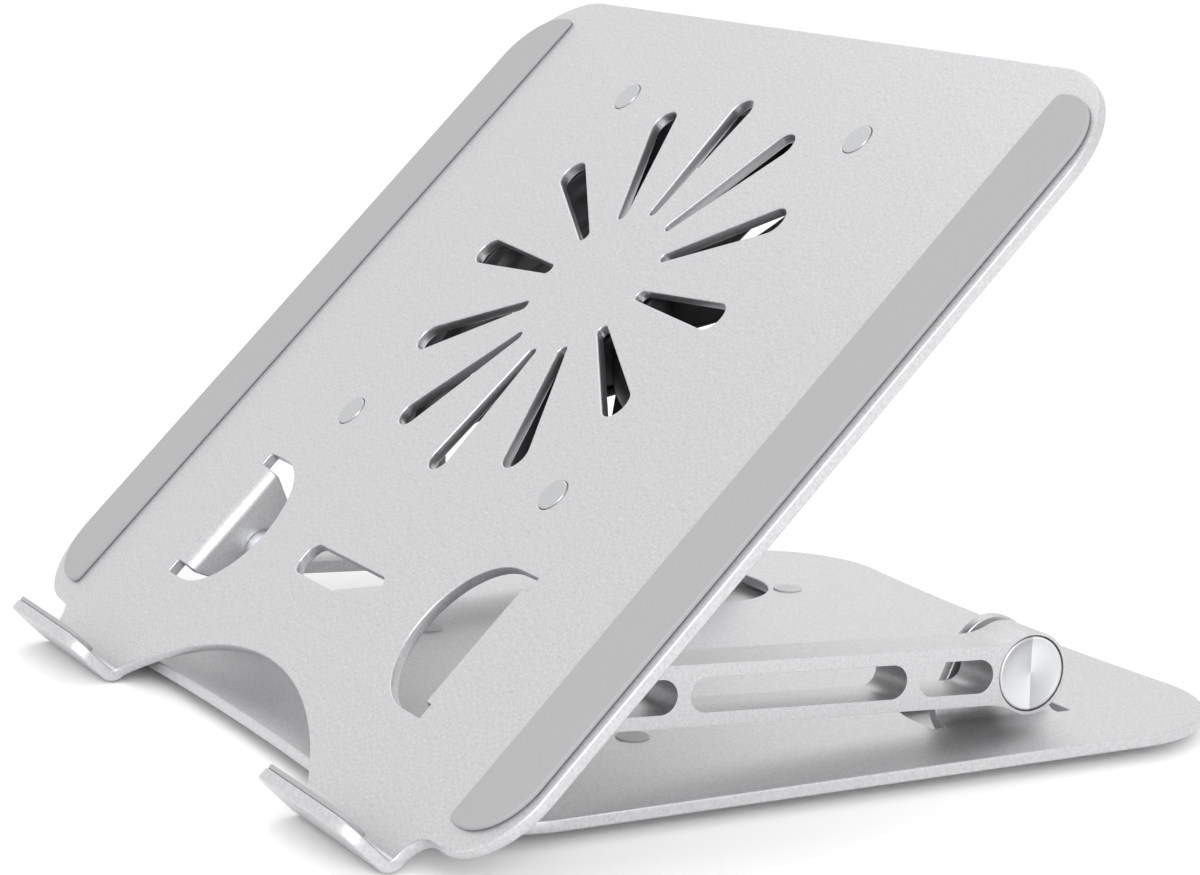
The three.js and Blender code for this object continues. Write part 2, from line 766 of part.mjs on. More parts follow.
// A blade starts as a flat bar along X and is pitched and cambered by its distance from the hub.
function makeBlade() {
  const root = fanHubRadius - fanHubWall / 2;
  const tip = fanBoreRadius - fanTipClearance;
  const depth = hubTop - hubBottom;
  const blade = new THREE.BoxGeometry(tip - root, 1, fanBladeThickness, 4, 4, 1);
  const position = blade.attributes.position;
  for (let i = 0; i < position.count; i++) {
    const along = position.getX(i) / (tip - root) + 0.5;
    const across = position.getY(i);
    const degrees = THREE.MathUtils.lerp(fanBladeRootPitch, fanBladeTipPitch, along);
    const pitch = THREE.MathUtils.degToRad(degrees);
    const chord = (depth - fanBladeThickness) / Math.sin(pitch) * fanBladeFill;
    const camber = fanBladeCamber * chord * (1 - 4 * across * across);
    const y = across * chord;
    const z = position.getZ(i) + camber - fanBladeDrop * chord;
    const radius = root + along * (tip - root);
    const turn = (y * Math.cos(pitch) - z * Math.sin(pitch)) / radius + fanBladeSweep * along;
    const height = y * Math.sin(pitch) + z * Math.cos(pitch);
    position.setXYZ(i, radius * Math.cos(turn), radius * Math.sin(turn), height);
  }
  return blade.translate(0, 0, (hubTop + hubBottom) / 2);
}

function makeImpeller() {
  const blade = makeBlade();
  const parts = [disc(fanHubRadius, hubBottom, hubTop, 3)];
  for (let i = 0; i < fanBladeCount; i++) {
    parts.push(blade.clone().rotateZ(fanBladeStart + i * 2 * Math.PI / fanBladeCount));
  }
  const hollow = disc(fanHubRadius - fanHubWall, hubBottom - cutBeyond, hubInside, 3);
  return cut(join(...parts), hollow);
}

// Coils on poles around the bearing.
function makeStator() {
  const inner = holderRadius + gap;
  const outer = magnetInner - 2 * gap;
  const bottom = boardTop + gap;
  const from = inner + statorCoreWall / 2;
  const to = outer - statorPoleInset;
  const height = motorTop - bottom - 2 * statorPoleStep;
  const parts = [ring(inner + statorCoreWall, inner, bottom, motorTop, 2)];
  for (let i = 0; i < statorPoleCount; i++) {
    const pole = new THREE.BoxGeometry(to - from, statorPoleWidth, height);
    pole.translate((from + to) / 2, 0, (motorTop + bottom) / 2);
    parts.push(pole.rotateZ((i + 0.5) * 2 * Math.PI / statorPoleCount));
  }
  return join(...parts);
}

function makeNut() {
  const shape = hexagon(nutAcrossFlats / Math.sqrt(3));
  shape.holes.push(addCircle(new THREE.Path(), 0, 0, studRadius + gap));
  return slab(shape, fanBottom - gap - nutHeight, fanBottom - gap);
}

// A stud's head fills its hole in the tray, and its shank goes down through the fan and its nut.
function makeStud() {
  const end = fanBottom - gap - nutHeight - studBeyondNut;
  const seat = fanTop + gap;
  const profile = [
    [0, end],
    [studRadius, end],
    [studRadius, seat],
    [studHeadRadius, seat],
    [studHeadRadius, studProud - studChamfer],
    [studHeadRadius - studChamfer, studProud],
    [0, studProud],
  ];
  return turned(profile);
}

// The inlet's mouth opens up the slope, away from the fan.
function makeInlet() {
  const half = inletWidth / 2;
  const front = fanSize / 2 + gap;
  const back = front + inletDepth;
  const bottom = fanTop - inletHeight;
  const middle = (fanTop + bottom) / 2;
  const outline = roundedRectangle(-half, front, half, back, inletCornerRadius);
  const mouth = roundedRectangle(-inletMouthWidth / 2, middle - inletMouthHeight / 2,
    inletMouthWidth / 2, middle + inletMouthHeight / 2, inletMouthRadius);
  const hollow = run(mouth, back - inletMouthDepth, back + cutBeyond, 3);
  return cut(slab(outline, bottom, fanTop, 2), hollow).translate(inletSide, 0, 0);
}

// ---- The stand ---------------------------------------------------------------------------------

const stand = new THREE.Group();
stand.name = 'laptop_stand';
const tray = new THREE.Group();
tray.position.set(0, fanY, fanZ);
tray.rotation.x = trayTilt;
stand.add(tray);

function place(group, name, geometry, look) {
  const mesh = new THREE.Mesh(bare(geometry), look);
  mesh.name = name;
  group.add(mesh);
  return mesh;
}

place(stand, 'base_plate', makeBasePlate(), blastedAluminium);
for (const [corner, x, y] of footPlaces()) {
  place(stand, `foot_${corner}`, makeFoot(x, y), greySilicone);
}
for (const [corner, x, y] of restPadPlaces()) {
  const bottom = baseTop + gap;
  const pad = disc(restPadRadius, bottom, bottom + restPadThickness).translate(x, y, 0);
  place(stand, `rest_pad_${corner}`, pad, greySilicone);
}

const arm = makeArm();
const cap = makeCap();
const bolt = makeBolt();
const washer = makeWasher();
for (const [name, side] of [['left', -1], ['right', 1]]) {
  const lever = new THREE.Group();
  lever.position.set(0, rearHingeY, rearHingeZ);
  lever.rotation.x = -armSlope;
  stand.add(lever);
  place(lever, `arm_${name}`, onSide(arm, side), blastedAluminium);
  for (const [end, y] of [['rear', 0], ['front', -pivotSpacing]]) {
    place(lever, `hinge_bolt_${end}_${name}`, onSide(bolt, side), zincSteel).position.y = y;
    place(lever, `hinge_washer_${end}_${name}`, onSide(washer, side), nylon).position.y = y;
    place(lever, `hinge_cap_${end}_${name}`, onSide(cap, side), turnedAluminium).position.y = y;
  }
}

place(tray, 'tray_plate', makeTrayPlate(), blastedAluminium);
const sidePad = makeSidePad();
const hookPad = makeHookPad();
for (const [name, side] of [['left', -1], ['right', 1]]) {
  place(tray, `side_pad_${name}`, onSide(sidePad, side), greySilicone);
  place(tray, `hook_pad_${name}`, onSide(hookPad, side), greySilicone);
}

place(tray, 'fan_frame', makeFanFrame(), blackPlastic);
place(tray, 'fan_impeller', makeImpeller(), blackPlastic);
place(tray, 'fan_shaft', disc(shaftRadius, boardBottom, hubInside - gap, 1), zincSteel);
place(tray, 'fan_magnet_ring',
  ring(magnetOuter, magnetInner, hubBottom + 2 * gap, hubInside - gap), ferrite);
place(tray, 'fan_bearing_sleeve',
  ring(sleeveRadius, shaftRadius + gap, boardBottom, motorTop, 1), bronze);
place(tray, 'fan_circuit_board',
  ring(magnetInner - gap, holderRadius + gap, boardBottom, boardTop), boardGreen);
place(tray, 'fan_stator', makeStator(), copperWinding);
fanScrewPlaces().forEach(([x, y], i) => {
  place(tray, `fan_stud_${i + 1}`, makeStud(), turnedAluminium).position.set(x, y, 0);
  place(tray, `fan_nut_${i + 1}`, makeNut(), zincSteel).position.set(x, y, 0);
});
place(tray, 'power_inlet', makeInlet(), blackPlastic);

export default stand;
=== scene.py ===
import json
import math

import bmesh
import bpy
from bpy.props import FloatProperty, FloatVectorProperty, IntProperty, PointerProperty
from mathutils import Matrix, Vector


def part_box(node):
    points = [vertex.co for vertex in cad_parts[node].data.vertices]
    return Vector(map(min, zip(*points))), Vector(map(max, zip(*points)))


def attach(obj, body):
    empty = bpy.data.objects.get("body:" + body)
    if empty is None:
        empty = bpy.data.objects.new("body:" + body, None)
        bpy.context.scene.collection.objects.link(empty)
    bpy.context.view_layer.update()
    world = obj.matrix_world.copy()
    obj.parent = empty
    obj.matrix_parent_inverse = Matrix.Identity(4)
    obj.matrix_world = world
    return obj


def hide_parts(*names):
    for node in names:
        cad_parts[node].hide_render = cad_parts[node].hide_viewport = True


bl_info = {
    "name": "Laptop stand",
    "version": (1, 0, 0),
    "blender": (4, 5, 0),
    "location": "3D View > Sidebar > Stand",
    "description": "Models a folding laptop stand with a cooling fan around its frame",
    "category": "Object",
}

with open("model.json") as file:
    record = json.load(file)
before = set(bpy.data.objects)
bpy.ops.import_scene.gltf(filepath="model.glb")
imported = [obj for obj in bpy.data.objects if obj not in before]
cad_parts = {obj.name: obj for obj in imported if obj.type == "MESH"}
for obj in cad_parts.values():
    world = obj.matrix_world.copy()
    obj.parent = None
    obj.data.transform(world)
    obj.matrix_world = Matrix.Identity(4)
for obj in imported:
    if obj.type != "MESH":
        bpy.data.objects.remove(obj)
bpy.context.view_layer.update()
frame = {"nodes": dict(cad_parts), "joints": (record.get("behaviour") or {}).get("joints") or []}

MM = 0.001
QUARTER = math.pi / 2
SAME = 0.01 * MM  # lengths closer than this are one length
TOOL_PITCH = 0.5 * MM  # between two rings of a turned face
JOINTS = {joint["name"]: joint for joint in frame["joints"]}

# Places that the frame gives: the two hinge lines, the fan's centre and the ears' planes.
REAR_HINGE = Vector(JOINTS["arm_raise"]["pos_m"])
FRONT_HINGE = Vector(JOINTS["tray_fold"]["pos_m"])
FAN_CENTRE = Vector(JOINTS["fan_spin"]["pos_m"])
FAN_AXIS = Vector(JOINTS["fan_spin"]["axis"])
PIVOT_SPACING = (FRONT_HINGE - REAR_HINGE).length
TILT = math.atan2(-FAN_AXIS.y, FAN_AXIS.z)
ARM_SLOPE = math.asin((FRONT_HINGE.z - REAR_HINGE.z) / PIVOT_SPACING)
TRAY_SPACE = Matrix.Translation(FAN_CENTRE) @ Matrix.Rotation(TILT, 4, "X")
ARM_SPACE = Matrix.Translation(REAR_HINGE) @ Matrix.Rotation(-ARM_SLOPE, 4, "X")
HINGE_IN_TRAY = TRAY_SPACE.inverted() @ FRONT_HINGE
BASE_LOW, BASE_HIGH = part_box("base_plate")
ARM_LOW, ARM_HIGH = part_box("arm_right")
WASHER_LOW, WASHER_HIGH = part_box("hinge_washer_rear_right")
CAP_LOW, CAP_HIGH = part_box("hinge_cap_rear_right")
BOLT_LOW, BOLT_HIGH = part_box("hinge_bolt_rear_right")
FIT_GAP = ARM_LOW.x - WASHER_HIGH.x
EAR_OUTER = WASHER_LOW.x - FIT_GAP

LIFT = 0.02 * MM  # keeps two pieces that lie on each other from sharing a face

# Turns an outline drawn in X and Y to stand in Y and Z, or in X and Z.
ACROSS = Matrix(((0, 0, 1, 0), (1, 0, 0, 0), (0, 1, 0, 0), (0, 0, 0, 1)))
UPRIGHT = Matrix(((1, 0, 0, 0), (0, 0, -1, 0), (0, 1, 0, 0), (0, 0, 0, 1)))


def linear(hex_colour):
    """The linear RGB of an sRGB hex colour."""
    channels = [int(hex_colour[i:i + 2], 16) / 255 for i in (1, 3, 5)]
    return [c / 12.92 if c <= 0.04045 else ((c + 0.055) / 1.055) ** 2.4 for c in channels]


def length(name, description, millimetres):
    """A length property, given in millimetres."""
    return FloatProperty(
        name=name, description=description, default=millimetres * MM, min=0.0,
        subtype="DISTANCE", unit="LENGTH",
    )


def colour(name, description, hex_colour):
    """A colour property, given as an sRGB hex value."""
    return FloatVectorProperty(
        name=name, description=description, default=linear(hex_colour), size=3,
        min=0.0, max=1.0, subtype="COLOR",
    )


# ---- Settings ---------------------------------------------------------------------------


class StandSheet(bpy.types.PropertyGroup):
    """The sheet metal of the tray and the base."""

    thickness: length("Thickness", "Thickness of the aluminium sheet", 2.8)
    rounding: length("Edge rounding", "Radius of the tumbled edges", 0.42)
    tray_bend: length("Tray bend", "Inside radius of the tray's bends", 1.0)
    base_bend: length("Base bend", "Inside radius of the base's bends", 3.6)
    ear_head: length("Ear head", "Radius of an ear's round head", 10.0)
    ear_root: length("Ear root", "Half the width of an ear at its bend", 15.5)
    window: length("Window radius", "Radius of the round side of a window", 19.2)
    window_run: length("Window run", "From a bend line to where its window turns round", 7.2)
    relief: length("Relief", "Depth of the relief cuts past the ends of a bend", 1.1)
    metal: colour("Metal", "Colour of the bead-blasted anodised aluminium", "#c8c8c9")


class StandTray(bpy.types.PropertyGroup):
    """The tray, measured from the fan's centre."""

    half_width: length("Half width", "Middle of the tray to its side", 129.0)
    rear: length("Rear", "Fan's centre to the rear edge", 80.3)
    front: length("Front", "Fan's centre to the front edge", 129.5)
    rear_corner: length("Rear corner", "Radius of the rear corners", 27.0)
    front_corner: length("Front corner", "Radius of the front corners", 19.5)
    scallop: length("Scallop", "Fan's centre to the middle of the scooped front edge", 114.8)
    hook_reach: length("Hook reach", "Fan's centre to the hooks' outer face", 139.8)
    hook_inner: length("Hook inner end", "Middle of the tray to a hook's inner end", 56.0)
    hook_outer: length("Hook outer end", "Middle of the tray to a hook's outer end", 100.5)
    hook_height: length("Hook height", "Tray's top face to the top of the hooks", 14.2)
    hook_corner: length("Hook corner", "Radius of the hooks' top corners", 7.0)
    slot_length: length("Slot length", "Length of the slot across the middle", 40.0)
    slot_width: length("Slot width", "Width of the slot across the middle", 8.3)
    slot_corner: length("Slot corner", "Radius of that slot's corners", 3.3)
    vent_count: IntProperty(name="Vents", description="Number of air slots", default=12, min=3)
    vent_tip: length("Vent tip", "Fan's centre to the outer end of a vent", 58.0)
    vent_root: length("Vent root", "Fan's centre to the inner end of a vent", 21.0)
    vent_wide: length("Vent wide end", "Radius of a vent's outer end", 3.8)
    vent_narrow: length("Vent narrow end", "Radius of a vent's inner end", 1.45)
    screw_square: length("Screw square", "Side of the square of fan screws", 105.0)


class StandPads(bpy.types.PropertyGroup):
    """The silicone pads and feet."""

    thickness: length("Thickness", "How far a pad stands proud of the metal", 1.1)
    side_inner: length("Side pad inner edge", "Middle of the tray to a side pad's inside", 107.6)
    side_outer: length("Side pad outer edge", "Middle of the tray to a side pad's outside", 126.6)
    side_rear: length("Side pad rear", "Fan's centre to a side pad's rear end", 72.7)
    side_front: length("Side pad front", "Fan's centre to a side pad's front end", 124.0)
    outer_corner: length("Outer corner", "Radius of a side pad's outer corners", 15.0)
    inner_corner: length("Inner corner", "Radius of a side pad's inner corners", 2.0)
    hook_length: length("Hook pad length", "Length of a hook pad", 38.0)
    hook_height: length("Hook pad height", "Height of a hook pad", 9.0)
    rounding: length("Rounding", "Radius of a pad's edges", 0.4)
    silicone: colour("Silicone", "Colour of the grey silicone", "#989899")
    pale_silicone: colour("Pale silicone", "Colour of the rest pads on the base", "#bebebf")


class StandBase(bpy.types.PropertyGroup):
    """The base plate."""

    corner: length("Corner", "Radius of the base's corners", 32.0)
    rear_sag: length("Rear sag", "How far the middle of the rear edge lies inside its ends", 2.7)
    front_sag: length("Front sag", "How far the middle of the front edge lies inside its ends", 2.0)


class StandArms(bpy.types.PropertyGroup):
    """The arms and their hinges."""

    height: length("Height", "Height of an arm between its barrels", 13.6)
    barrel: length("Barrel", "Radius of an arm's round ends", 9.5)
    fillet: length("Fillet", "Radius where a barrel runs into the arm", 15.0)
    slot_height: length("Slot height", "Height of the slots through an arm", 7.7)
    long_slot: length("Long slot", "Length of the middle slot", 54.9)
    short_slot: length("Short slot", "Length of an end slot", 19.8)
    web: length("Web", "Metal between two slots", 3.25)
    rounding: length("Edge rounding", "Radius of an arm's edges", 0.7)
    cap: length("Cap", "Radius of a turned cap", 8.55)
    cap_groove: length("Cap groove", "Gap round a cap", 0.25)
    bolt_head: length("Bolt head", "Radius of a hinge bolt's head", 6.0)
    bolt_shank: length("Bolt shank", "Radius of a hinge bolt's shank", 3.0)
    socket: length("Socket", "Corner radius of the hexagon socket", 2.9)
    steel: colour("Steel", "Colour of bright zinc plate", "#c9cbcf")
    turned: colour("Turned metal", "Colour of the turned caps", "#e2e3e5")
    stud: colour("Stud metal", "Colour of the studs' flush heads", "#bcbdbf")


class StandFan(bpy.types.PropertyGroup):
    """The fan under the tray."""

    size: length("Size", "Side of the fan's square frame", 120.0)
    depth: length("Depth", "Depth of the fan", 15.0)
    wall: length("Wall", "Wall between the bore and the frame's sides", 2.0)
    corner: length("Corner", "Radius of the frame's corners", 6.0)
    flange: length("Flange", "Thickness of the frame's two flanges", 3.2)
    hub: length("Hub", "Radius of the hub", 21.0)
    motor_plate: length("Motor plate", "Thickness of the plate behind the motor", 2.2)
    strut: length("Strut", "Width of the struts that hold the motor", 5.0)
    blade: length("Blade", "Thickness of a blade", 1.4)
    tip_gap: length("Tip gap", "Between the blades and the bore", 1.5)
    blades: IntProperty(name="Blades", description="Number of blades", default=7, min=3)
    blade_start: FloatProperty(
        name="First blade", description="The first blade's turn at rest", default=math.radians(13),
        subtype="ANGLE", unit="ROTATION")
    plastic: colour("Plastic", "Colour of the black moulded plastic", "#1c1d1f")


class StandStage(bpy.types.PropertyGroup):
    """The floor, the lights and the camera."""

    azimuth: FloatProperty(
        name="Azimuth", description="The camera's turn round the stand",
        default=math.radians(61.283), subtype="ANGLE", unit="ROTATION")
    elevation: FloatProperty(
        name="Elevation", description="The camera's height as an angle",
        default=math.radians(11.053), subtype="ANGLE", unit="ROTATION")
    roll: FloatProperty(
        name="Roll", description="The camera's lean", default=math.radians(1.329),
        subtype="ANGLE", unit="ROTATION")
    distance: length("Distance", "Camera to the middle of the view, straight ahead", 788.56)
    aside: length("Aside", "The origin's shift to the right of the line of sight", 2.44)
    below: length("Below", "The origin's depth below the line of sight", 61.18)
    lens: FloatProperty(name="Lens", description="Focal length in millimetres on a 36 mm sensor",
                        default=99.2, min=1.0)
    floor: colour("Floor", "Colour of the floor", "#f9f9f9")
    sky: colour("Surround", "Colour of the light all round", "#ffffff")


# ---- Drawing in a bmesh -----------------------------------------------------------------


def trace(bm, start, *moves, closed=True, tolerance=0.015 * MM):
    """Draws an outline in X and Y and returns its vertices.

    A move is a point, which a straight run ends at, or a centre with the angle of an arc round it.
    Arcs keep within the tolerance, and finished vertices carry a tag.
    """
    tip = first = bm.verts.new((*start, 0.0))
    verts = [first]
    for place, what in moves:
        if isinstance(place, tuple):
            radius = (tip.co.xy - Vector(place)).length
            stride = 2 * math.acos(1 - tolerance / radius)
            steps = max(3, math.ceil(abs(what) / stride))
            made = bmesh.ops.spin(
                bm, geom=[tip], cent=(*place, 0.0), axis=(0, 0, 1), angle=what, steps=steps)
            last = [g for g in made["geom_last"] if isinstance(g, bmesh.types.BMVert)]
            verts += [v for v in bm.verts if not v.tag and v not in verts]
            tip = last[0]
        else:
            made = bmesh.ops.extrude_vert_indiv(bm, verts=[tip])
            tip = made["verts"][0]
            tip.co = (place, what, 0.0)
            verts.append(tip)
    if closed:
        if (tip.co - first.co).length > 1e-7:
            bm.edges.new((tip, first))
        else:
            bmesh.ops.pointmerge(bm, verts=[tip, first], merge_co=first.co)
            verts = [v for v in verts if v.is_valid]
    for vert in verts:
        vert.tag = True
    return verts


def circle(bm, centre, radius, segments=48):
    """Draws a full circle in X and Y."""
    place = Matrix.Translation((*centre, 0.0))
    made = bmesh.ops.create_circle(bm, segments=segments, radius=radius, matrix=place)
    for vert in made["verts"]:
        vert.tag = True
    return made["verts"]


def rounded_box(bm, low, high, radius):
    """Draws a rectangle with round corners in X and Y."""
    (x0, y0), (x1, y1), r = low, high, radius
    return trace(
        bm, (x0 + r, y0), (x1 - r, y0), ((x1 - r, y0 + r), QUARTER), (x1, y1 - r),
        ((x1 - r, y1 - r), QUARTER), (x0 + r, y1), ((x0 + r, y1 - r), QUARTER), (x0, y0 + r),
        ((x0 + r, y0 + r), QUARTER))


def slot_outline(bm, near, near_radius, far, far_radius):
    """Draws the outline round two circles on the X axis, the second further out."""
    spread = math.acos((near_radius - far_radius) / (far - near))
    start = (far + far_radius * math.cos(spread), -far_radius * math.sin(spread))
    across = (near + near_radius * math.cos(spread), near_radius * math.sin(spread))
    return trace(
        bm, start, ((far, 0.0), 2 * spread), across, ((near, 0.0), 2 * math.pi - 2 * spread))


def in_order(items):
    """The items without repeats, in the order of their first place."""
    return list(dict.fromkeys(items))


def edges_of(verts):
    """The edges that join two of these vertices, always in the same order."""
    wanted = set(verts)
    return in_order(e for v in verts for e in v.link_edges if set(e.verts) <= wanted)


def fill(bm, verts, normal=(0, 0, 1)):
    """Fills the outlines of these vertices with faces, and leaves the inner outlines open."""
    made = bmesh.ops.triangle_fill(
        bm, edges=edges_of(verts), use_beauty=True, use_dissolve=False, normal=normal)
    faces = [g for g in made["geom"] if isinstance(g, bmesh.types.BMFace)]
    inner = in_order(e for f in faces for e in f.edges if len(e.link_faces) == 2)
    bmesh.ops.dissolve_limit(
        bm, angle_limit=0.01, edges=inner, use_dissolve_boundaries=False)


def thicken(bm, depth):
    """Gives every flat face in X and Y a thickness down to z = -depth."""
    made = bmesh.ops.extrude_face_region(bm, geom=bm.faces[:], use_keep_orig=True)
    moved = [g for g in made["geom"] if isinstance(g, bmesh.types.BMVert)]
    bmesh.ops.translate(bm, verts=moved, vec=(0, 0, -depth))
    bmesh.ops.recalc_face_normals(bm, faces=bm.faces)


def round_edges(bm, radius, segments=3, angle=50):
    """Rounds every edge sharper than the angle."""
    limit = math.radians(angle)
    sharp = [e for e in bm.edges if len(e.link_faces) == 2 and e.calc_face_angle(0.0) > limit]
    bmesh.ops.bevel(
        bm, geom=sharp, offset=radius, offset_type="OFFSET", segments=segments, profile=0.5,
        affect="EDGES", material=-1, clamp_overlap=True)


def turn_profile(bm, points, steps=64):
    """Turns a profile of radius and height about the Z axis into a closed solid."""
    verts = [bm.verts.new((radius, 0.0, height)) for radius, height in points]
    edges = [bm.edges.new(pair) for pair in zip(verts, verts[1:])]
    bmesh.ops.spin(
        bm, geom=verts + edges, cent=(0, 0, 0), axis=(0, 0, 1), angle=2 * math.pi, steps=steps,
        use_merge=True)
    bmesh.ops.remove_doubles(bm, verts=bm.verts, dist=1e-7)
    bmesh.ops.recalc_face_normals(bm, faces=bm.faces)


def smooth_round_parts(mesh):
    """Shades curved faces smoothly and leaves flat ones flat."""
    for face in mesh.polygons:
        face.use_smooth = max(abs(c) for c in face.normal) < 0.9999


def make_piece(bm, name, material, body, slot, *replaced, space=Matrix.Identity(4)):
    """Makes an object of a bmesh, places its mesh, gives it its body and finish, and hides the CAD
    nodes that it replaces.
    """
    if not bm.faces or not all(edge.is_manifold for edge in bm.edges):
        raise RuntimeError(f"{name} isn't a closed solid")
    mesh = bpy.data.meshes.new(name)
    bm.to_mesh(mesh)
    bm.free()
    smooth_round_parts(mesh)
    mesh.transform(space)
    mesh.materials.append(material)
    piece = bpy.data.objects.new(name, mesh)
    bpy.context.scene.collection.objects.link(piece)
    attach(piece, body)
    if replaced:
        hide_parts(*replaced)
    return piece


def flip_if_left(bm, side):
    """Mirrors a piece made for the right to stand on the left."""
    if side < 0:
        bmesh.ops.scale(bm, vec=(-1, 1, 1), verts=bm.verts)
        bmesh.ops.reverse_faces(bm, faces=bm.faces)


# ---- Materials --------------------------------------------------------------------------


def add_node(tree, kind, settings=(), links=(), **fields):
    """Adds a node with its fields, socket values and incoming links."""
    node = tree.nodes.new(kind)
    for field, value in fields.items():
        setattr(node, field, value)
    for socket, value in dict(settings).items():
        node.inputs[socket].default_value = value
    for socket, output in dict(links).items():
        tree.links.new(output, node.inputs[socket])
    return node


def start_material(name, colour_value, metallic, roughness):
    """A material with its shader, and the object's own coordinates."""
    existing = bpy.data.materials.get(name)
    if existing:
        return existing, None, None, None
    material = bpy.data.materials.new(name)
    material.use_nodes = True
    tree = material.node_tree
    shader = tree.nodes["Principled BSDF"]
    shader.inputs["Base Color"].default_value = (*colour_value, 1.0)
    shader.inputs["Metallic"].default_value = metallic
    shader.inputs["Roughness"].default_value = roughness
    material.diffuse_color = (*colour_value, 1.0)
    place = add_node(tree, "ShaderNodeTexCoord").outputs["Object"]
    return material, tree, shader, place


def grain(tree, shader, place, colour_value, size, contrast, relief, strength):
    """Fine grain of a real size: a slight change of colour, and a relief that breaks shine."""
    noise = add_node(
        tree, "ShaderNodeTexNoise", {"Scale": 1 / size, "Detail": 3.0, "Roughness": 0.6},
        {"Vector": place})
    dark = [c * (1 - contrast) for c in colour_value]
    light = [min(1.0, c * (1 + contrast)) for c in colour_value]
    mix = add_node(
        tree, "ShaderNodeMix", {"A": (*dark, 1.0), "B": (*light, 1.0)},
        {"Factor": noise.outputs["Fac"]}, data_type="RGBA")
    tree.links.new(mix.outputs["Result"], shader.inputs["Base Color"])
    bump = add_node(
        tree, "ShaderNodeBump", {"Strength": strength, "Distance": relief},
        {"Height": noise.outputs["Fac"]})
    tree.links.new(bump.outputs["Normal"], shader.inputs["Normal"])


def blasted_aluminium():
    """Bead-blasted, silver anodised aluminium: an even satin grey with a fine sparkling grain."""
    sheet = bpy.context.scene.stand_sheet
    material, tree, shader, place = start_material("bead_blasted_aluminium", sheet.metal, 1.0, 0.46)
    if tree:
        # Glass beads leave dimples about 0.2 mm across; drawn at 0.7 mm so that they show.
        grain(tree, shader, place, sheet.metal, 0.7 * MM, 0.28, 0.03 * MM, 0.4)
    return material


def milled_aluminium():
    """Cut edge of anodised sheet: fine upright tool marks under the same satin."""
    sheet = bpy.context.scene.stand_sheet
    material, tree, shader, place = start_material("milled_aluminium", sheet.metal, 1.0, 0.38)
    if tree:
        grain(tree, shader, place, sheet.metal, 0.6 * MM, 0.16, 0.03 * MM, 0.5)
    return material


def turned_aluminium(name, centre):
    """Face-turned aluminium: fine rings of tool marks, with two fans of painted highlight and
    painted shade swept round them in its colour.
    """
    arms = bpy.context.scene.stand_arms
    material, tree, shader, place = start_material(name, arms.turned, 1.0, 0.34)
    if tree:
        # The cap faces along X, so its face is turned into the gradient's own X and Y.
        face = add_node(
            tree, "ShaderNodeMapping", {"Location": centre, "Rotation": (0.0, QUARTER, 0.0)},
            {"Vector": place}, vector_type="TEXTURE").outputs["Vector"]
        angle = add_node(
            tree, "ShaderNodeTexGradient", {}, {"Vector": face}, gradient_type="RADIAL")
        twice = add_node(
            tree, "ShaderNodeMath", {1: 2.0}, {0: angle.outputs["Fac"]}, operation="MULTIPLY")
        painted_highlight_sweep = add_node(
            tree, "ShaderNodeMath", {}, {0: twice.outputs["Value"]}, operation="FRACT")
        # At unit scale the wave texture makes 20 rings in a distance of one full turn in radians.
        rings = add_node(
            tree, "ShaderNodeTexWave", {"Scale": math.tau / (20 * TOOL_PITCH)}, {"Vector": face},
            wave_type="RINGS", rings_direction="Z")
        # Painted highlight and painted shade: the colour sweeps twice round the face from a
        # darkened copy to the full colour, the same from every view.
        dark = [0.62 * c for c in arms.turned]
        mix = add_node(
            tree, "ShaderNodeMix", {"A": (*dark, 1.0), "B": (*arms.turned, 1.0)},
            {"Factor": painted_highlight_sweep.outputs["Value"]}, data_type="RGBA")
        tree.links.new(mix.outputs["Result"], shader.inputs["Base Color"])
        bump = add_node(
            tree, "ShaderNodeBump", {"Strength": 0.3, "Distance": 0.01 * MM},
            {"Height": rings.outputs["Fac"]})
        tree.links.new(bump.outputs["Normal"], shader.inputs["Normal"])
    return material


def satin_stud():
    """Faced aluminium under a satin anodised coat: a shade darker and smoother than the sheet."""
    arms = bpy.context.scene.stand_arms
    material, tree, shader, place = start_material("satin_stud_aluminium", arms.stud, 1.0, 0.4)
    if tree:
        grain(tree, shader, place, arms.stud, 0.5 * MM, 0.06, 0.01 * MM, 0.2)
    return material


def silicone(name, colour_value):
    """Moulded silicone: matt, faintly dusty, with the fine texture of its mould."""
    material, tree, shader, place = start_material(name, colour_value, 0.0, 0.72)
    if tree:
        shader.inputs["IOR"].default_value = 1.42
        shader.inputs["Sheen Weight"].default_value = 0.15
        grain(tree, shader, place, colour_value, 0.5 * MM, 0.05, 0.02 * MM, 0.4)
    return material


def black_plastic():
    """Moulded glass-filled plastic: near black, with the soft sparkle of an eroded mould."""
    fan = bpy.context.scene.stand_fan
    material, tree, shader, place = start_material("black_moulded_plastic", fan.plastic, 0.0, 0.48)
    if tree:
        shader.inputs["IOR"].default_value = 1.5
        grain(tree, shader, place, fan.plastic, 0.35 * MM, 0.18, 0.03 * MM, 0.45)
    return material


def zinc_steel():
    """Bright zinc-plated steel: smooth, with a slight cloudiness in its shine."""
    arms = bpy.context.scene.stand_arms
    material, tree, shader, place = start_material("zinc_plated_steel", arms.steel, 1.0, 0.3)
    if tree:
        grain(tree, shader, place, arms.steel, 1.2 * MM, 0.08, 0.01 * MM, 0.25)
    return material


def plain_finish(name, hex_colour, metallic, roughness, size, contrast):
    """A fan's inner part: its colour with a grain of its own size."""
    value = linear(hex_colour)
    material, tree, shader, place = start_material(name, value, metallic, roughness)
    if tree:
        grain(tree, shader, place, value, size, contrast, 0.03 * MM, 0.4)
    return material


# ---- Sheet metal ------------------------------------------------------------------------


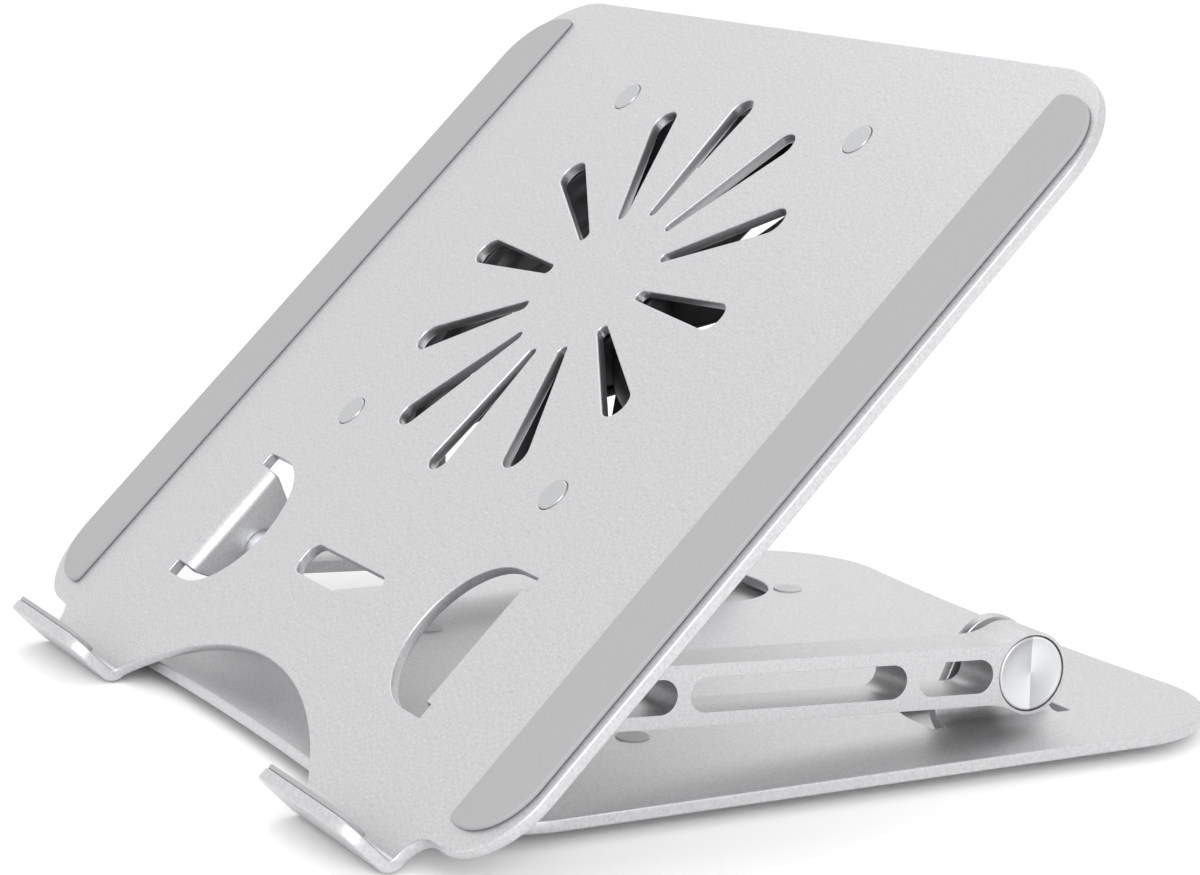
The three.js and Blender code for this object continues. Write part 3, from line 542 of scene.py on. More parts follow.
def ear_outline(bm, hinge_y, hinge_z, root_z):
    """Draws an ear with X along the stand and Y up: a round head on a wide root."""
    sheet = bpy.context.scene.stand_sheet
    rise = root_z - hinge_z
    way = math.copysign(1, rise)
    reach = math.hypot(sheet.ear_root, rise)
    touch = math.atan2(abs(rise), sheet.ear_root) - math.acos(sheet.ear_head / reach)
    start = (hinge_y - sheet.ear_root, root_z)
    end = (hinge_y + sheet.ear_root, root_z)
    shoulder = (
        hinge_y - sheet.ear_head * math.cos(touch),
        hinge_z + way * sheet.ear_head * math.sin(touch))
    sweep = way * (math.pi + 2 * touch)
    return trace(bm, start, shoulder, ((hinge_y, hinge_z), sweep), end)


def window_outline(bm, bend_x, hinge_y):
    """Draws a D-shaped window on the right. Its straight side carries the ear's bend line."""
    sheet = bpy.context.scene.stand_sheet
    straight = bend_x + sheet.relief
    middle = bend_x - sheet.window_run
    root, r = sheet.ear_root, sheet.window
    return trace(
        bm, (straight, hinge_y - root), (bend_x, hinge_y - root), (bend_x, hinge_y + root),
        (straight, hinge_y + root), (straight, hinge_y + r), (middle, hinge_y + r),
        ((middle, hinge_y), math.pi), (straight, hinge_y - r))


def bend_up(bm, on_line, centre, axis, angle):
    """Turns the edges that lie on a line about a bend's centre, as a folding press does."""
    edges = [e for e in bm.edges if all(on_line(v.co) for v in e.verts)]
    verts = in_order(v for e in edges for v in e.verts)
    made = bmesh.ops.spin(bm, geom=verts + edges, cent=centre, axis=axis, angle=angle, steps=8)
    return made["geom_last"]


def near(value, target):
    """Whether two lengths are the same within a hundredth of a millimetre."""
    return abs(value - target) < SAME


def add_flap(bm, outline, space, hole=None):
    """Fills a flap's outline, drawn flat, and stands it in its place."""
    flap = bmesh.new()
    outline(flap)
    if hole:
        circle(flap, *hole)
    fill(flap, flap.verts[:])
    bmesh.ops.transform(flap, matrix=space, verts=flap.verts)
    mesh = bpy.data.meshes.new("flap")
    flap.to_mesh(mesh)
    flap.free()
    bm.from_mesh(mesh)
    bpy.data.meshes.remove(mesh)


def mirror_outlines(bm):
    """Completes the outlines drawn for the right half, and closes them on the middle line."""
    bmesh.ops.mirror(
        bm, geom=bm.verts[:] + bm.edges[:], matrix=Matrix.Identity(4), merge_dist=1e-6, axis="X")
    bmesh.ops.remove_doubles(bm, verts=bm.verts, dist=1e-7)


def mirror_new(bm, old_faces):
    """Copies the faces that aren't among the old ones to the other side, and joins them."""
    new = [f for f in bm.faces if f not in old_faces]
    verts = in_order(v for f in new for v in f.verts)
    edges = in_order(e for f in new for e in f.edges)
    bmesh.ops.mirror(
        bm, geom=verts + edges + new, matrix=Matrix.Identity(4), merge_dist=1e-6, axis="X")
    bmesh.ops.remove_doubles(bm, verts=bm.verts, dist=1e-6)


def sheet_solid(bm, name):
    """Gives a bent sheet its thickness, away from its top face, and rounds its edges."""
    sheet = bpy.context.scene.stand_sheet
    bmesh.ops.recalc_face_normals(bm, faces=bm.faces)
    top = max(bm.faces, key=lambda f: f.calc_area())
    if top.normal.z < 0:
        bmesh.ops.reverse_faces(bm, faces=bm.faces)
    mesh = bpy.data.meshes.new(name)
    bm.to_mesh(mesh)
    bm.free()
    shape = bpy.data.objects.new(name, mesh)
    bpy.context.scene.collection.objects.link(shape)
    solid = shape.modifiers.new("thickness", "SOLIDIFY")
    solid.thickness = sheet.thickness
    solid.offset = -1
    solid.use_even_offset = True
    graph = bpy.context.evaluated_depsgraph_get()
    thick = bpy.data.meshes.new_from_object(shape.evaluated_get(graph))
    bpy.data.objects.remove(shape)
    result = bmesh.new()
    result.from_mesh(thick)
    bpy.data.meshes.remove(thick)
    round_edges(result, sheet.rounding)
    return result


def mark_cut_edges(piece, material, is_cut):
    """Gives the faces of the air slots' walls a second material."""
    piece.data.materials.append(material)
    for face in piece.data.polygons:
        if is_cut(face):
            face.material_index = 1


STUD_HOLE = 3.98 * MM  # radius of the holes for the studs' flush heads


class STAND_OT_tray_plate(bpy.types.Operator):
    """The tray: one sheet with windows and air slots, ears bent down and hooks bent up"""

    bl_idname = "stand.tray_plate"
    bl_label = "Tray plate"

    def execute(self, context):
        sheet, tray = context.scene.stand_sheet, context.scene.stand_tray
        bend_outer = sheet.tray_bend + sheet.thickness
        ear_bend = EAR_OUTER + sheet.tray_bend
        hinge_y, hinge_z = HINGE_IN_TRAY.y, HINGE_IN_TRAY.z
        hook_bend = -tray.hook_reach + bend_outer
        bm = bmesh.new()
        self.draw_half(bm, tray, hook_bend)
        window_outline(bm, ear_bend, hinge_y)
        mirror_outlines(bm)
        half_slot, half_width = tray.slot_length / 2, tray.slot_width / 2
        rounded_box(
            bm, (-half_slot, hinge_y - half_width), (half_slot, hinge_y + half_width),
            tray.slot_corner)
        half = tray.screw_square / 2
        for x in (-1, 1):
            for y in (-1, 1):
                circle(bm, (x * half, y * half), STUD_HOLE, 40)
        self.draw_vents(bm, tray)
        fill(bm, bm.verts[:])
        flat = set(bm.faces)
        ear_reach = sheet.ear_root + SAME
        bend_up(
            bm, lambda co: near(co.x, ear_bend) and abs(co.y - hinge_y) <= ear_reach,
            (ear_bend, 0, -bend_outer), (0, 1, 0), -QUARTER)
        root = -bend_outer
        add_flap(
            bm, lambda flap: ear_outline(flap, hinge_y, hinge_z, root),
            Matrix.Translation((EAR_OUTER - sheet.thickness, 0, 0)) @ ACROSS,
            ((hinge_y, hinge_z), context.scene.stand_arms.bolt_shank + FIT_GAP))
        bend_up(
            bm, lambda co: near(co.y, hook_bend) and co.x > tray.hook_inner - SAME,
            (0, hook_bend, sheet.tray_bend), (1, 0, 0), -QUARTER)
        add_flap(
            bm, lambda flap: self.draw_hook(flap, sheet, tray),
            Matrix.Translation((0, hook_bend - sheet.tray_bend, 0)) @ UPRIGHT)
        mirror_new(bm, flat)
        solid = sheet_solid(bm, "tray_sheet")
        piece = make_piece(
            solid, "tray_sheet", blasted_aluminium(), "tray", "blasted_aluminium", "tray_plate",
            space=TRAY_SPACE)
        reach = tray.vent_tip + 0.5 * MM
        into_tray = TRAY_SPACE.inverted()
        facing = into_tray.to_3x3()

        def in_vent(face):
            centre = into_tray @ face.center
            return centre.xy.length < reach and abs((facing @ face.normal).z) < 0.2

        mark_cut_edges(piece, milled_aluminium(), in_vent)
        return {"FINISHED"}

    def draw_half(self, bm, tray, hook_bend):
        half, rear, front = tray.half_width, tray.rear, -tray.front
        back, fore = tray.rear_corner, tray.front_corner
        notch = front - hook_bend
        depth = -hook_bend - tray.scallop
        scallop = (tray.hook_inner ** 2 + depth ** 2) / (2 * depth)
        trace(
            bm, (0, rear), (half - back, rear), ((half - back, rear - back), -QUARTER),
            (half, front + fore), ((half - fore, front + fore), -QUARTER),
            (tray.hook_outer + notch, front), ((tray.hook_outer + notch, hook_bend), QUARTER),
            (tray.hook_inner, hook_bend),
            ((0.0, -tray.scallop - scallop), math.asin(tray.hook_inner / scallop)), closed=False)

    def draw_vents(self, bm, tray):
        near_end = tray.vent_root + tray.vent_narrow
        far_end = tray.vent_tip - tray.vent_wide
        for i in range(tray.vent_count):
            verts = slot_outline(bm, near_end, tray.vent_narrow, far_end, tray.vent_wide)
            turn = Matrix.Rotation(QUARTER + i * 2 * math.pi / tray.vent_count, 3, "Z")
            bmesh.ops.rotate(bm, cent=(0, 0, 0), matrix=turn, verts=verts)

    def draw_hook(self, flap, sheet, tray):
        inner, outer = tray.hook_inner, tray.hook_outer
        low, top, r = sheet.tray_bend, tray.hook_height, tray.hook_corner
        trace(
            flap, (outer, low), (outer, top - r), ((outer - r, top - r), QUARTER),
            (inner + r, top), ((inner + r, top - r), QUARTER), (inner, low))


class STAND_OT_base_plate(bpy.types.Operator):
    """The base: one sheet with two windows and two ears bent up"""

    bl_idname = "stand.base_plate"
    bl_label = "Base plate"

    def execute(self, context):
        sheet, base = context.scene.stand_sheet, context.scene.stand_base
        top = BASE_LOW.z + sheet.thickness
        bend_x = EAR_OUTER + sheet.base_bend
        hinge_y, hinge_z = REAR_HINGE.y, REAR_HINGE.z - top
        bm = bmesh.new()
        self.draw_half(bm, base)
        window_outline(bm, bend_x, hinge_y)
        mirror_outlines(bm)
        fill(bm, bm.verts[:])
        flat = set(bm.faces)
        ear_reach = sheet.ear_root + SAME
        bend_up(
            bm, lambda co: near(co.x, bend_x) and abs(co.y - hinge_y) <= ear_reach,
            (bend_x, 0, sheet.base_bend), (0, 1, 0), QUARTER)
        add_flap(
            bm, lambda flap: ear_outline(flap, hinge_y, hinge_z, sheet.base_bend),
            Matrix.Translation((EAR_OUTER, 0, 0)) @ ACROSS,
            ((hinge_y, hinge_z), context.scene.stand_arms.bolt_shank + FIT_GAP))
        mirror_new(bm, flat)
        solid = sheet_solid(bm, "base_sheet")
        make_piece(
            solid, "base_sheet", blasted_aluminium(), "base", "blasted_aluminium", "base_plate",
            space=Matrix.Translation((0, 0, top)))
        return {"FINISHED"}

    def draw_half(self, bm, base):
        """Two round corners on the right, and front and rear edges that sag inwards as arcs."""
        r, half = base.corner, BASE_HIGH.x
        x = half - r
        rear = self.sag_arc(BASE_HIGH.y, base.rear_sag, 1, x, r)
        front = self.sag_arc(BASE_LOW.y, base.front_sag, -1, x, r)
        trace(
            bm, (0, BASE_HIGH.y - base.rear_sag), ((0.0, rear["middle"]), rear["lean"]),
            ((x, BASE_HIGH.y - r), -QUARTER - rear["lean"]), (half, BASE_LOW.y + r),
            ((x, BASE_LOW.y + r), -QUARTER - front["lean"]),
            ((0.0, front["middle"]), front["lean"]), closed=False)

    def sag_arc(self, edge, sag, sign, x, r):
        """The centre of an edge's arc, and the angle at which it meets the corner."""
        a = sign * edge - r
        b = sign * edge - sag - r
        middle = (x * x + a * a - b * b) / (2 * (a - b))
        return {"middle": sign * middle, "lean": math.atan2(x, middle - a)}


# ---- Pads and feet ----------------------------------------------------------------------

HOOK_PAD_CORNER = 3.5 * MM
FOOT_RIM = 0.9 * MM  # round of a foot's lower rim
FOOT_DISH = 0.4 * MM  # depth of the hollow under a foot
REST_LEAN = 0.04 * MM  # how far a rest pad's side leans in
REST_CROWN = 0.12 * MM  # height of its rounded shoulder
REST_SHOULDER = 0.2 * MM  # width of that shoulder


class STAND_OT_side_pads(bpy.types.Operator):
    """The two long silicone pads that the laptop lies on"""

    bl_idname = "stand.side_pads"
    bl_label = "Side pads"

    def execute(self, context):
        pads = context.scene.stand_pads
        inner, outer = pads.side_inner, pads.side_outer
        rear, front = pads.side_rear, -pads.side_front
        big, small = pads.outer_corner, pads.inner_corner
        for name, side in (("left", -1), ("right", 1)):
            bm = bmesh.new()
            trace(
                bm, (outer - big, front), ((outer - big, front + big), QUARTER),
                (outer, rear - big), ((outer - big, rear - big), QUARTER), (inner + small, rear),
                ((inner + small, rear - small), QUARTER), (inner, front + small),
                ((inner + small, front + small), QUARTER))
            fill(bm, bm.verts[:])
            thicken(bm, pads.thickness - LIFT)
            round_edges(bm, pads.rounding)
            flip_if_left(bm, side)
            make_piece(
                bm, f"side_strip_{name}", silicone("moulded_grey_silicone", pads.silicone), "tray",
                "grey_silicone", f"side_pad_{name}",
                space=TRAY_SPACE @ Matrix.Translation((0, 0, pads.thickness)))
        return {"FINISHED"}


class STAND_OT_hook_pads(bpy.types.Operator):
    """The two thin pads that the laptop's front edge stands against"""

    bl_idname = "stand.hook_pads"
    bl_label = "Hook pads"

    def execute(self, context):
        scene = context.scene
        pads, tray, sheet = scene.stand_pads, scene.stand_tray, scene.stand_sheet
        middle = (tray.hook_inner + tray.hook_outer) / 2
        face = -tray.hook_reach + sheet.thickness
        for name, side in (("left", -1), ("right", 1)):
            bm = bmesh.new()
            rounded_box(
                bm, (middle - pads.hook_length / 2, tray.hook_height - pads.hook_height),
                (middle + pads.hook_length / 2, tray.hook_height), HOOK_PAD_CORNER)
            fill(bm, bm.verts[:])
            thicken(bm, pads.thickness - LIFT)
            round_edges(bm, pads.rounding * 0.8)
            bmesh.ops.transform(bm, matrix=UPRIGHT, verts=bm.verts)
            flip_if_left(bm, side)
            make_piece(
                bm, f"hook_strip_{name}", silicone("moulded_grey_silicone", pads.silicone),
                "tray", "grey_silicone", f"hook_pad_{name}",
                space=TRAY_SPACE @ Matrix.Translation((0, face + LIFT, 0)))
        return {"FINISHED"}


class STAND_OT_feet(bpy.types.Operator):
    """The silicone feet under the base and the rest pads let into it"""

    bl_idname = "stand.feet"
    bl_label = "Feet and rest pads"

    def execute(self, context):
        pads = context.scene.stand_pads
        for node in sorted(n for n in frame["nodes"] if n.startswith("foot_")):
            low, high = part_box(node)
            radius, height = (high.x - low.x) / 2, BASE_LOW.z
            bm = bmesh.new()
            turn_profile(bm, [
                (0, FOOT_DISH), (radius * 0.62, FOOT_DISH), (radius * 0.68, 0),
                (radius - FOOT_RIM, 0), (radius - FOOT_RIM * 0.3, FOOT_RIM * 0.3),
                (radius, FOOT_RIM), (radius, height), (0, height)])
            place = Matrix.Translation(((low.x + high.x) / 2, (low.y + high.y) / 2, 0))
            make_piece(
                bm, f"{node}_pad", silicone("moulded_grey_silicone", pads.silicone), "base",
                "grey_silicone", node, space=place)
        for node in sorted(n for n in frame["nodes"] if n.startswith("rest_pad_")):
            low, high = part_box(node)
            radius = (high.x - low.x) / 2
            base = BASE_LOW.z + context.scene.stand_sheet.thickness + LIFT
            crown = base + high.z - low.z
            bm = bmesh.new()
            turn_profile(bm, [
                (0, base), (radius, base), (radius - REST_LEAN, crown - REST_CROWN),
                (radius - REST_SHOULDER, crown), (0, crown)], 48)
            place = Matrix.Translation(((low.x + high.x) / 2, (low.y + high.y) / 2, 0))
            make_piece(
                bm, f"{node}_button", silicone("moulded_pale_silicone", pads.pale_silicone),
                "base", "rest_silicone", node, space=place)
        return {"FINISHED"}


# ---- Arms and hinges --------------------------------------------------------------------

BOLT_ROUNDING = 0.5 * MM
BOLT_OVERLAP = 0.5 * MM  # how far the shank runs into the head
HEAD_SHY = 0.05 * MM  # gap between a bolt's head and its ear
SOCKET_DEPTH = 3.2 * MM
WASHER_ROUNDING = 0.2 * MM


def sink(bm, on_face, depth):
    """Presses the faces of a flat patch down below z = 0."""
    patch = [f for f in bm.faces if on_face(f)]
    made = bmesh.ops.extrude_face_region(bm, geom=patch)
    moved = [g for g in made["geom"] if isinstance(g, bmesh.types.BMVert)]
    bmesh.ops.translate(bm, verts=moved, vec=(0, 0, -depth))
    bmesh.ops.delete(bm, geom=[f for f in patch if f.is_valid], context="FACES")
    bmesh.ops.recalc_face_normals(bm, faces=bm.faces)


class STAND_OT_arms(bpy.types.Operator):
    """The two milled arms, each with three slots and a recess for a cap at each end"""

    bl_idname = "stand.arms"
    bl_label = "Arms"

    def execute(self, context):
        for name, side in (("left", -1), ("right", 1)):
            bm = self.draw_arm(context.scene.stand_arms)
            place = Matrix.Translation((ARM_HIGH.x, 0, 0)) @ ACROSS
            bmesh.ops.transform(bm, matrix=place, verts=bm.verts)
            flip_if_left(bm, side)
            make_piece(
                bm, f"milled_arm_{name}", blasted_aluminium(), "arms", "blasted_aluminium",
                f"arm_{name}", space=ARM_SPACE)
        return {"FINISHED"}

    def draw_arm(self, arm):
        """The arm's outline, slots and cap recesses, with its rear hinge at the centre."""
        half, far = arm.height / 2, -PIVOT_SPACING
        fillet_z = half + arm.fillet
        reach = arm.barrel + arm.fillet
        fillet_y = math.sqrt(reach ** 2 - fillet_z ** 2)
        touch = math.atan2(fillet_z, fillet_y)
        ease = touch - QUARTER
        wrap = 2 * math.pi - 2 * touch
        bm = bmesh.new()
        start = (-arm.barrel * math.cos(touch), -arm.barrel * math.sin(touch))
        trace(
            bm, start, ((0.0, 0.0), wrap), ((-fillet_y, fillet_z), ease),
            (far + fillet_y, half), ((far + fillet_y, fillet_z), ease), ((far, 0.0), wrap),
            ((far + fillet_y, -fillet_z), ease), (-fillet_y, -half),
            ((-fillet_y, -fillet_z), ease))
        radius = arm.slot_height / 2
        long_end = arm.long_slot / 2
        short_start = long_end + arm.web
        short_end = short_start + arm.short_slot
        slots = ((-long_end, long_end), (short_start, short_end), (-short_end, -short_start))
        for low, high in slots:
            verts = slot_outline(bm, low + radius, radius, high - radius, radius)
            bmesh.ops.translate(bm, verts=verts, vec=(far / 2, 0, 0))
        seat = arm.cap + arm.cap_groove
        rims = [circle(bm, (y, 0.0), seat, 64) for y in (0.0, far)]
        fill(bm, bm.verts[:])
        for rim in rims:
            bmesh.ops.contextual_create(bm, geom=edges_of(rim))
        bmesh.ops.recalc_face_normals(bm, faces=bm.faces)
        thicken(bm, ARM_HIGH.x - ARM_LOW.x)
        recess = ARM_HIGH.x - CAP_LOW.x + FIT_GAP

        def is_seat(face):
            centre = face.calc_center_median()
            inside = min(centre.xy.length, (centre.xy - Vector((far, 0))).length) < seat * 0.5
            return inside and near(centre.z, 0.0)

        sink(bm, is_seat, recess)
        round_edges(bm, arm.rounding, segments=4)
        return bm


class STAND_OT_hinges(bpy.types.Operator):
    """The turned caps, socket-head bolts and friction washers of the four hinges"""

    bl_idname = "stand.hinges"
    bl_label = "Hinges"

    def execute(self, context):
        for end, along in (("rear", 0.0), ("front", -PIVOT_SPACING)):
            for name, side in (("left", -1), ("right", 1)):
                space = ARM_SPACE @ Matrix.Translation((0, along, 0))
                self.make_cap(context, f"{end}_{name}", side, space)
                self.make_bolt(context, f"{end}_{name}", side, space)
                self.make_washer(context, f"{end}_{name}", side, space)
        return {"FINISHED"}

    def make_cap(self, context, name, side, space):
        arm = context.scene.stand_arms
        r, t = arm.cap, CAP_HIGH.x - CAP_LOW.x
        bm = bmesh.new()
        # From the flat back round the rounded lip, down its inside and over the dished face.
        turn_profile(bm, [
            (0, 0), (r, 0), (r, t - 0.45 * MM), (r - 0.12 * MM, t - 0.16 * MM),
            (r - 0.4 * MM, t), (r - 0.75 * MM, t - 0.06 * MM), (r - 1.0 * MM, t - 0.22 * MM),
            (r * 0.5, t - 0.3 * MM), (0, t - 0.34 * MM)], 96)
        place = Matrix.Translation((CAP_LOW.x, 0, 0)) @ ACROSS
        bmesh.ops.transform(bm, matrix=place, verts=bm.verts)
        flip_if_left(bm, side)
        centre = space @ Vector((side * CAP_HIGH.x, 0, 0))
        finish = turned_aluminium(f"turned_aluminium_painted_sweep_{name}", centre)
        piece = make_piece(
            bm, f"turned_cap_{name}", finish, "arms", "turned_aluminium", f"hinge_cap_{name}",
            space=space)
        piece.data.polygons.foreach_set("use_smooth", [True] * len(piece.data.polygons))
        piece.data.set_sharp_from_angle(angle=math.radians(40))

    def make_bolt(self, context, name, side, space):
        arm = context.scene.stand_arms
        head = EAR_OUTER - context.scene.stand_sheet.thickness - BOLT_LOW.x
        bm = bmesh.new()
        circle(bm, (0, 0), arm.bolt_head, 48)
        hexagon = circle(bm, (0, 0), arm.socket, 6)
        fill(bm, bm.verts[:])
        bmesh.ops.contextual_create(bm, geom=edges_of(hexagon))
        bmesh.ops.recalc_face_normals(bm, faces=bm.faces)
        thicken(bm, head - HEAD_SHY)

        def is_socket(face):
            centre = face.calc_center_median()
            return centre.xy.length < 0.1 * MM and near(centre.z, 0.0)

        sink(bm, is_socket, SOCKET_DEPTH)
        round_edges(bm, BOLT_ROUNDING)
        middle = -(BOLT_HIGH.x - BOLT_LOW.x + head) / 2 + BOLT_OVERLAP
        shank = Matrix.Translation((0, 0, middle))
        bmesh.ops.create_cone(
            bm, cap_ends=True, segments=32, radius1=arm.bolt_shank, radius2=arm.bolt_shank,
            depth=BOLT_HIGH.x - BOLT_LOW.x - head, matrix=shank)
        turn = Matrix.Translation((BOLT_LOW.x, 0, 0)) @ Matrix.Rotation(-QUARTER, 4, "Y")
        bmesh.ops.transform(bm, matrix=turn, verts=bm.verts)
        flip_if_left(bm, side)
        make_piece(
            bm, f"socket_bolt_{name}", zinc_steel(), "arms", "zinc_steel", f"hinge_bolt_{name}",
            space=space)

    def make_washer(self, context, name, side, space):
        arm = context.scene.stand_arms
        bm = bmesh.new()
        circle(bm, (0, 0), (WASHER_HIGH.z - WASHER_LOW.z) / 2, 48)
        circle(bm, (0, 0), arm.bolt_shank + FIT_GAP / 2, 32)
        fill(bm, bm.verts[:])
        thicken(bm, WASHER_HIGH.x - WASHER_LOW.x)
        round_edges(bm, WASHER_ROUNDING)
        place = Matrix.Translation((WASHER_HIGH.x, 0, 0)) @ ACROSS
        bmesh.ops.transform(bm, matrix=place, verts=bm.verts)
        flip_if_left(bm, side)
        nylon = plain_finish("natural_nylon", "#e6e4de", 0.0, 0.55, 0.8 * MM, 0.04)
        make_piece(
            bm, f"friction_washer_{name}", nylon, "arms", "nylon", f"hinge_washer_{name}",
            space=space)


# ---- Fan --------------------------------------------------------------------------------

FLANGE_ROUNDING = 0.4 * MM
SCREW_HOLE = 2.3 * MM  # radius
COLUMN = 6.0 * MM  # radius of the columns round the screw holes
PLATE_ROUNDING = 0.6 * MM
TUBE_OUTER = 5.4 * MM  # radii of the tube that holds the bearing
TUBE_INNER = 4.4 * MM
TUBE_BELOW_HUB = 3.5 * MM
STRUT_RUN_IN = 2 * MM
STRUT_ROUNDING = 0.5 * MM
HUB_WALL = 1.5 * MM
HUB_ROUNDING = 1.0 * MM
BLADE_ROOT_PITCH = 42  # in degrees
BLADE_PITCH_FALL = 16  # from root to tip, in degrees
BLADE_FILL = 0.9  # share of the hub's height that a blade takes
BLADE_CAMBER = 0.09  # bulge, as a share of the chord
BLADE_DROP = 0.05  # shift that centres the bulge, as a share of the chord
BLADE_SWEEP = 0.35  # turn from root to tip, in radians
BLADE_ROUNDING = 0.45 * MM
STUD_HEAD = 3.9 * MM  # radius
STUD_SHANK = 2.0 * MM  # radius
STUD_PROUD = 0.3 * MM  # how far a head stands above the tray
STUD_CHAMFER = 0.4 * MM
STUD_BEYOND_NUT = 1.0 * MM
NUT_HEIGHT = 3.2 * MM
NUT_FLATS = 7.0 * MM  # across flats
NUT_BORE = 2.15 * MM  # radius
NUT_ROUNDING = 0.3 * MM


def fan_layers(fan):
    """Heights in the fan along the tray's normal, from the tray's top face."""
    top = -bpy.context.scene.stand_sheet.thickness - FIT_GAP
    bottom = top - fan.depth
    plate = bottom + fan.motor_plate
    return {
        "top": top, "bottom": bottom, "plate": plate,
        "hub_top": top - 2 * FIT_GAP, "hub_bottom": plate + 4 * FIT_GAP,
    }


def add_bmesh(bm, other):
    """Adds another bmesh's faces to this one."""
    mesh = bpy.data.meshes.new("part")
    other.to_mesh(mesh)
    other.free()
    bm.from_mesh(mesh)
    bpy.data.meshes.remove(mesh)


class STAND_OT_fan_frame(bpy.types.Operator):
    """The fan's square frame, with its screw columns, struts and motor plate"""

    bl_idname = "stand.fan_frame"
    bl_label = "Fan frame"

    def execute(self, context):
        fan, tray = context.scene.stand_fan, context.scene.stand_tray
        layer = fan_layers(fan)
        half, bore = fan.size / 2, fan.size / 2 - fan.wall
        reach = tray.screw_square / 2
        corners = [(x * reach, y * reach) for x in (-1, 1) for y in (-1, 1)]
        bm = bmesh.new()
        for top in (layer["top"], layer["bottom"] + fan.flange):
            plate = bmesh.new()
            rounded_box(plate, (-half, -half), (half, half), fan.corner)
            circle(plate, (0, 0), bore, 128)
            for x, y in corners:
                circle(plate, (x, y), SCREW_HOLE, 24)
            fill(plate, plate.verts[:])
            thicken(plate, fan.flange)
            round_edges(plate, FLANGE_ROUNDING, segments=2)
            bmesh.ops.translate(plate, verts=plate.verts, vec=(0, 0, top))
            add_bmesh(bm, plate)
        wall = bmesh.new()
        circle(wall, (0, 0), half - 0.1 * MM, 128)
        circle(wall, (0, 0), bore + 0.05 * MM, 128)
        fill(wall, wall.verts[:])
        thicken(wall, fan.depth - fan.flange)
        bmesh.ops.translate(wall, verts=wall.verts, vec=(0, 0, layer["top"] - fan.flange / 2))
        add_bmesh(bm, wall)
        for x, y in corners:
            self.add_column(bm, fan, layer, x, y)
            self.add_strut(bm, fan, layer, math.atan2(y, x), bore)
        motor = bmesh.new()
        bottom, plate, tube = layer["bottom"], layer["plate"], layer["hub_top"] - TUBE_BELOW_HUB
        turn_profile(motor, [
            (0, bottom), (fan.hub - PLATE_ROUNDING, bottom), (fan.hub, bottom + PLATE_ROUNDING),
            (fan.hub, plate), (TUBE_OUTER, plate), (TUBE_OUTER, tube), (TUBE_INNER, tube),
            (TUBE_INNER, plate), (0, plate)], 96)
        add_bmesh(bm, motor)
        make_piece(
            bm, "fan_housing", black_plastic(), "tray", "black_plastic", "fan_frame",
            space=TRAY_SPACE)
        return {"FINISHED"}

    def add_column(self, bm, fan, layer, x, y):
        column = bmesh.new()
        circle(column, (x, y), COLUMN, 32)
        circle(column, (x, y), SCREW_HOLE, 24)
        fill(column, column.verts[:])
        thicken(column, fan.depth - fan.flange)
        top = layer["top"] - fan.flange / 2
        bmesh.ops.translate(column, verts=column.verts, vec=(0, 0, top))
        add_bmesh(bm, column)

    def add_strut(self, bm, fan, layer, angle, bore):
        strut = bmesh.new()
        bmesh.ops.create_cube(strut, size=1.0)
        reach = bore - fan.hub + STRUT_RUN_IN
        bmesh.ops.scale(strut, vec=(reach, fan.strut, fan.motor_plate), verts=strut.verts)
        round_edges(strut, STRUT_ROUNDING)
        middle = ((bore + fan.hub) / 2, 0, layer["bottom"] + fan.motor_plate / 2)
        bmesh.ops.translate(strut, verts=strut.verts, vec=middle)
        turn = Matrix.Rotation(angle, 3, "Z")
        bmesh.ops.rotate(strut, cent=(0, 0, 0), matrix=turn, verts=strut.verts)
        add_bmesh(bm, strut)


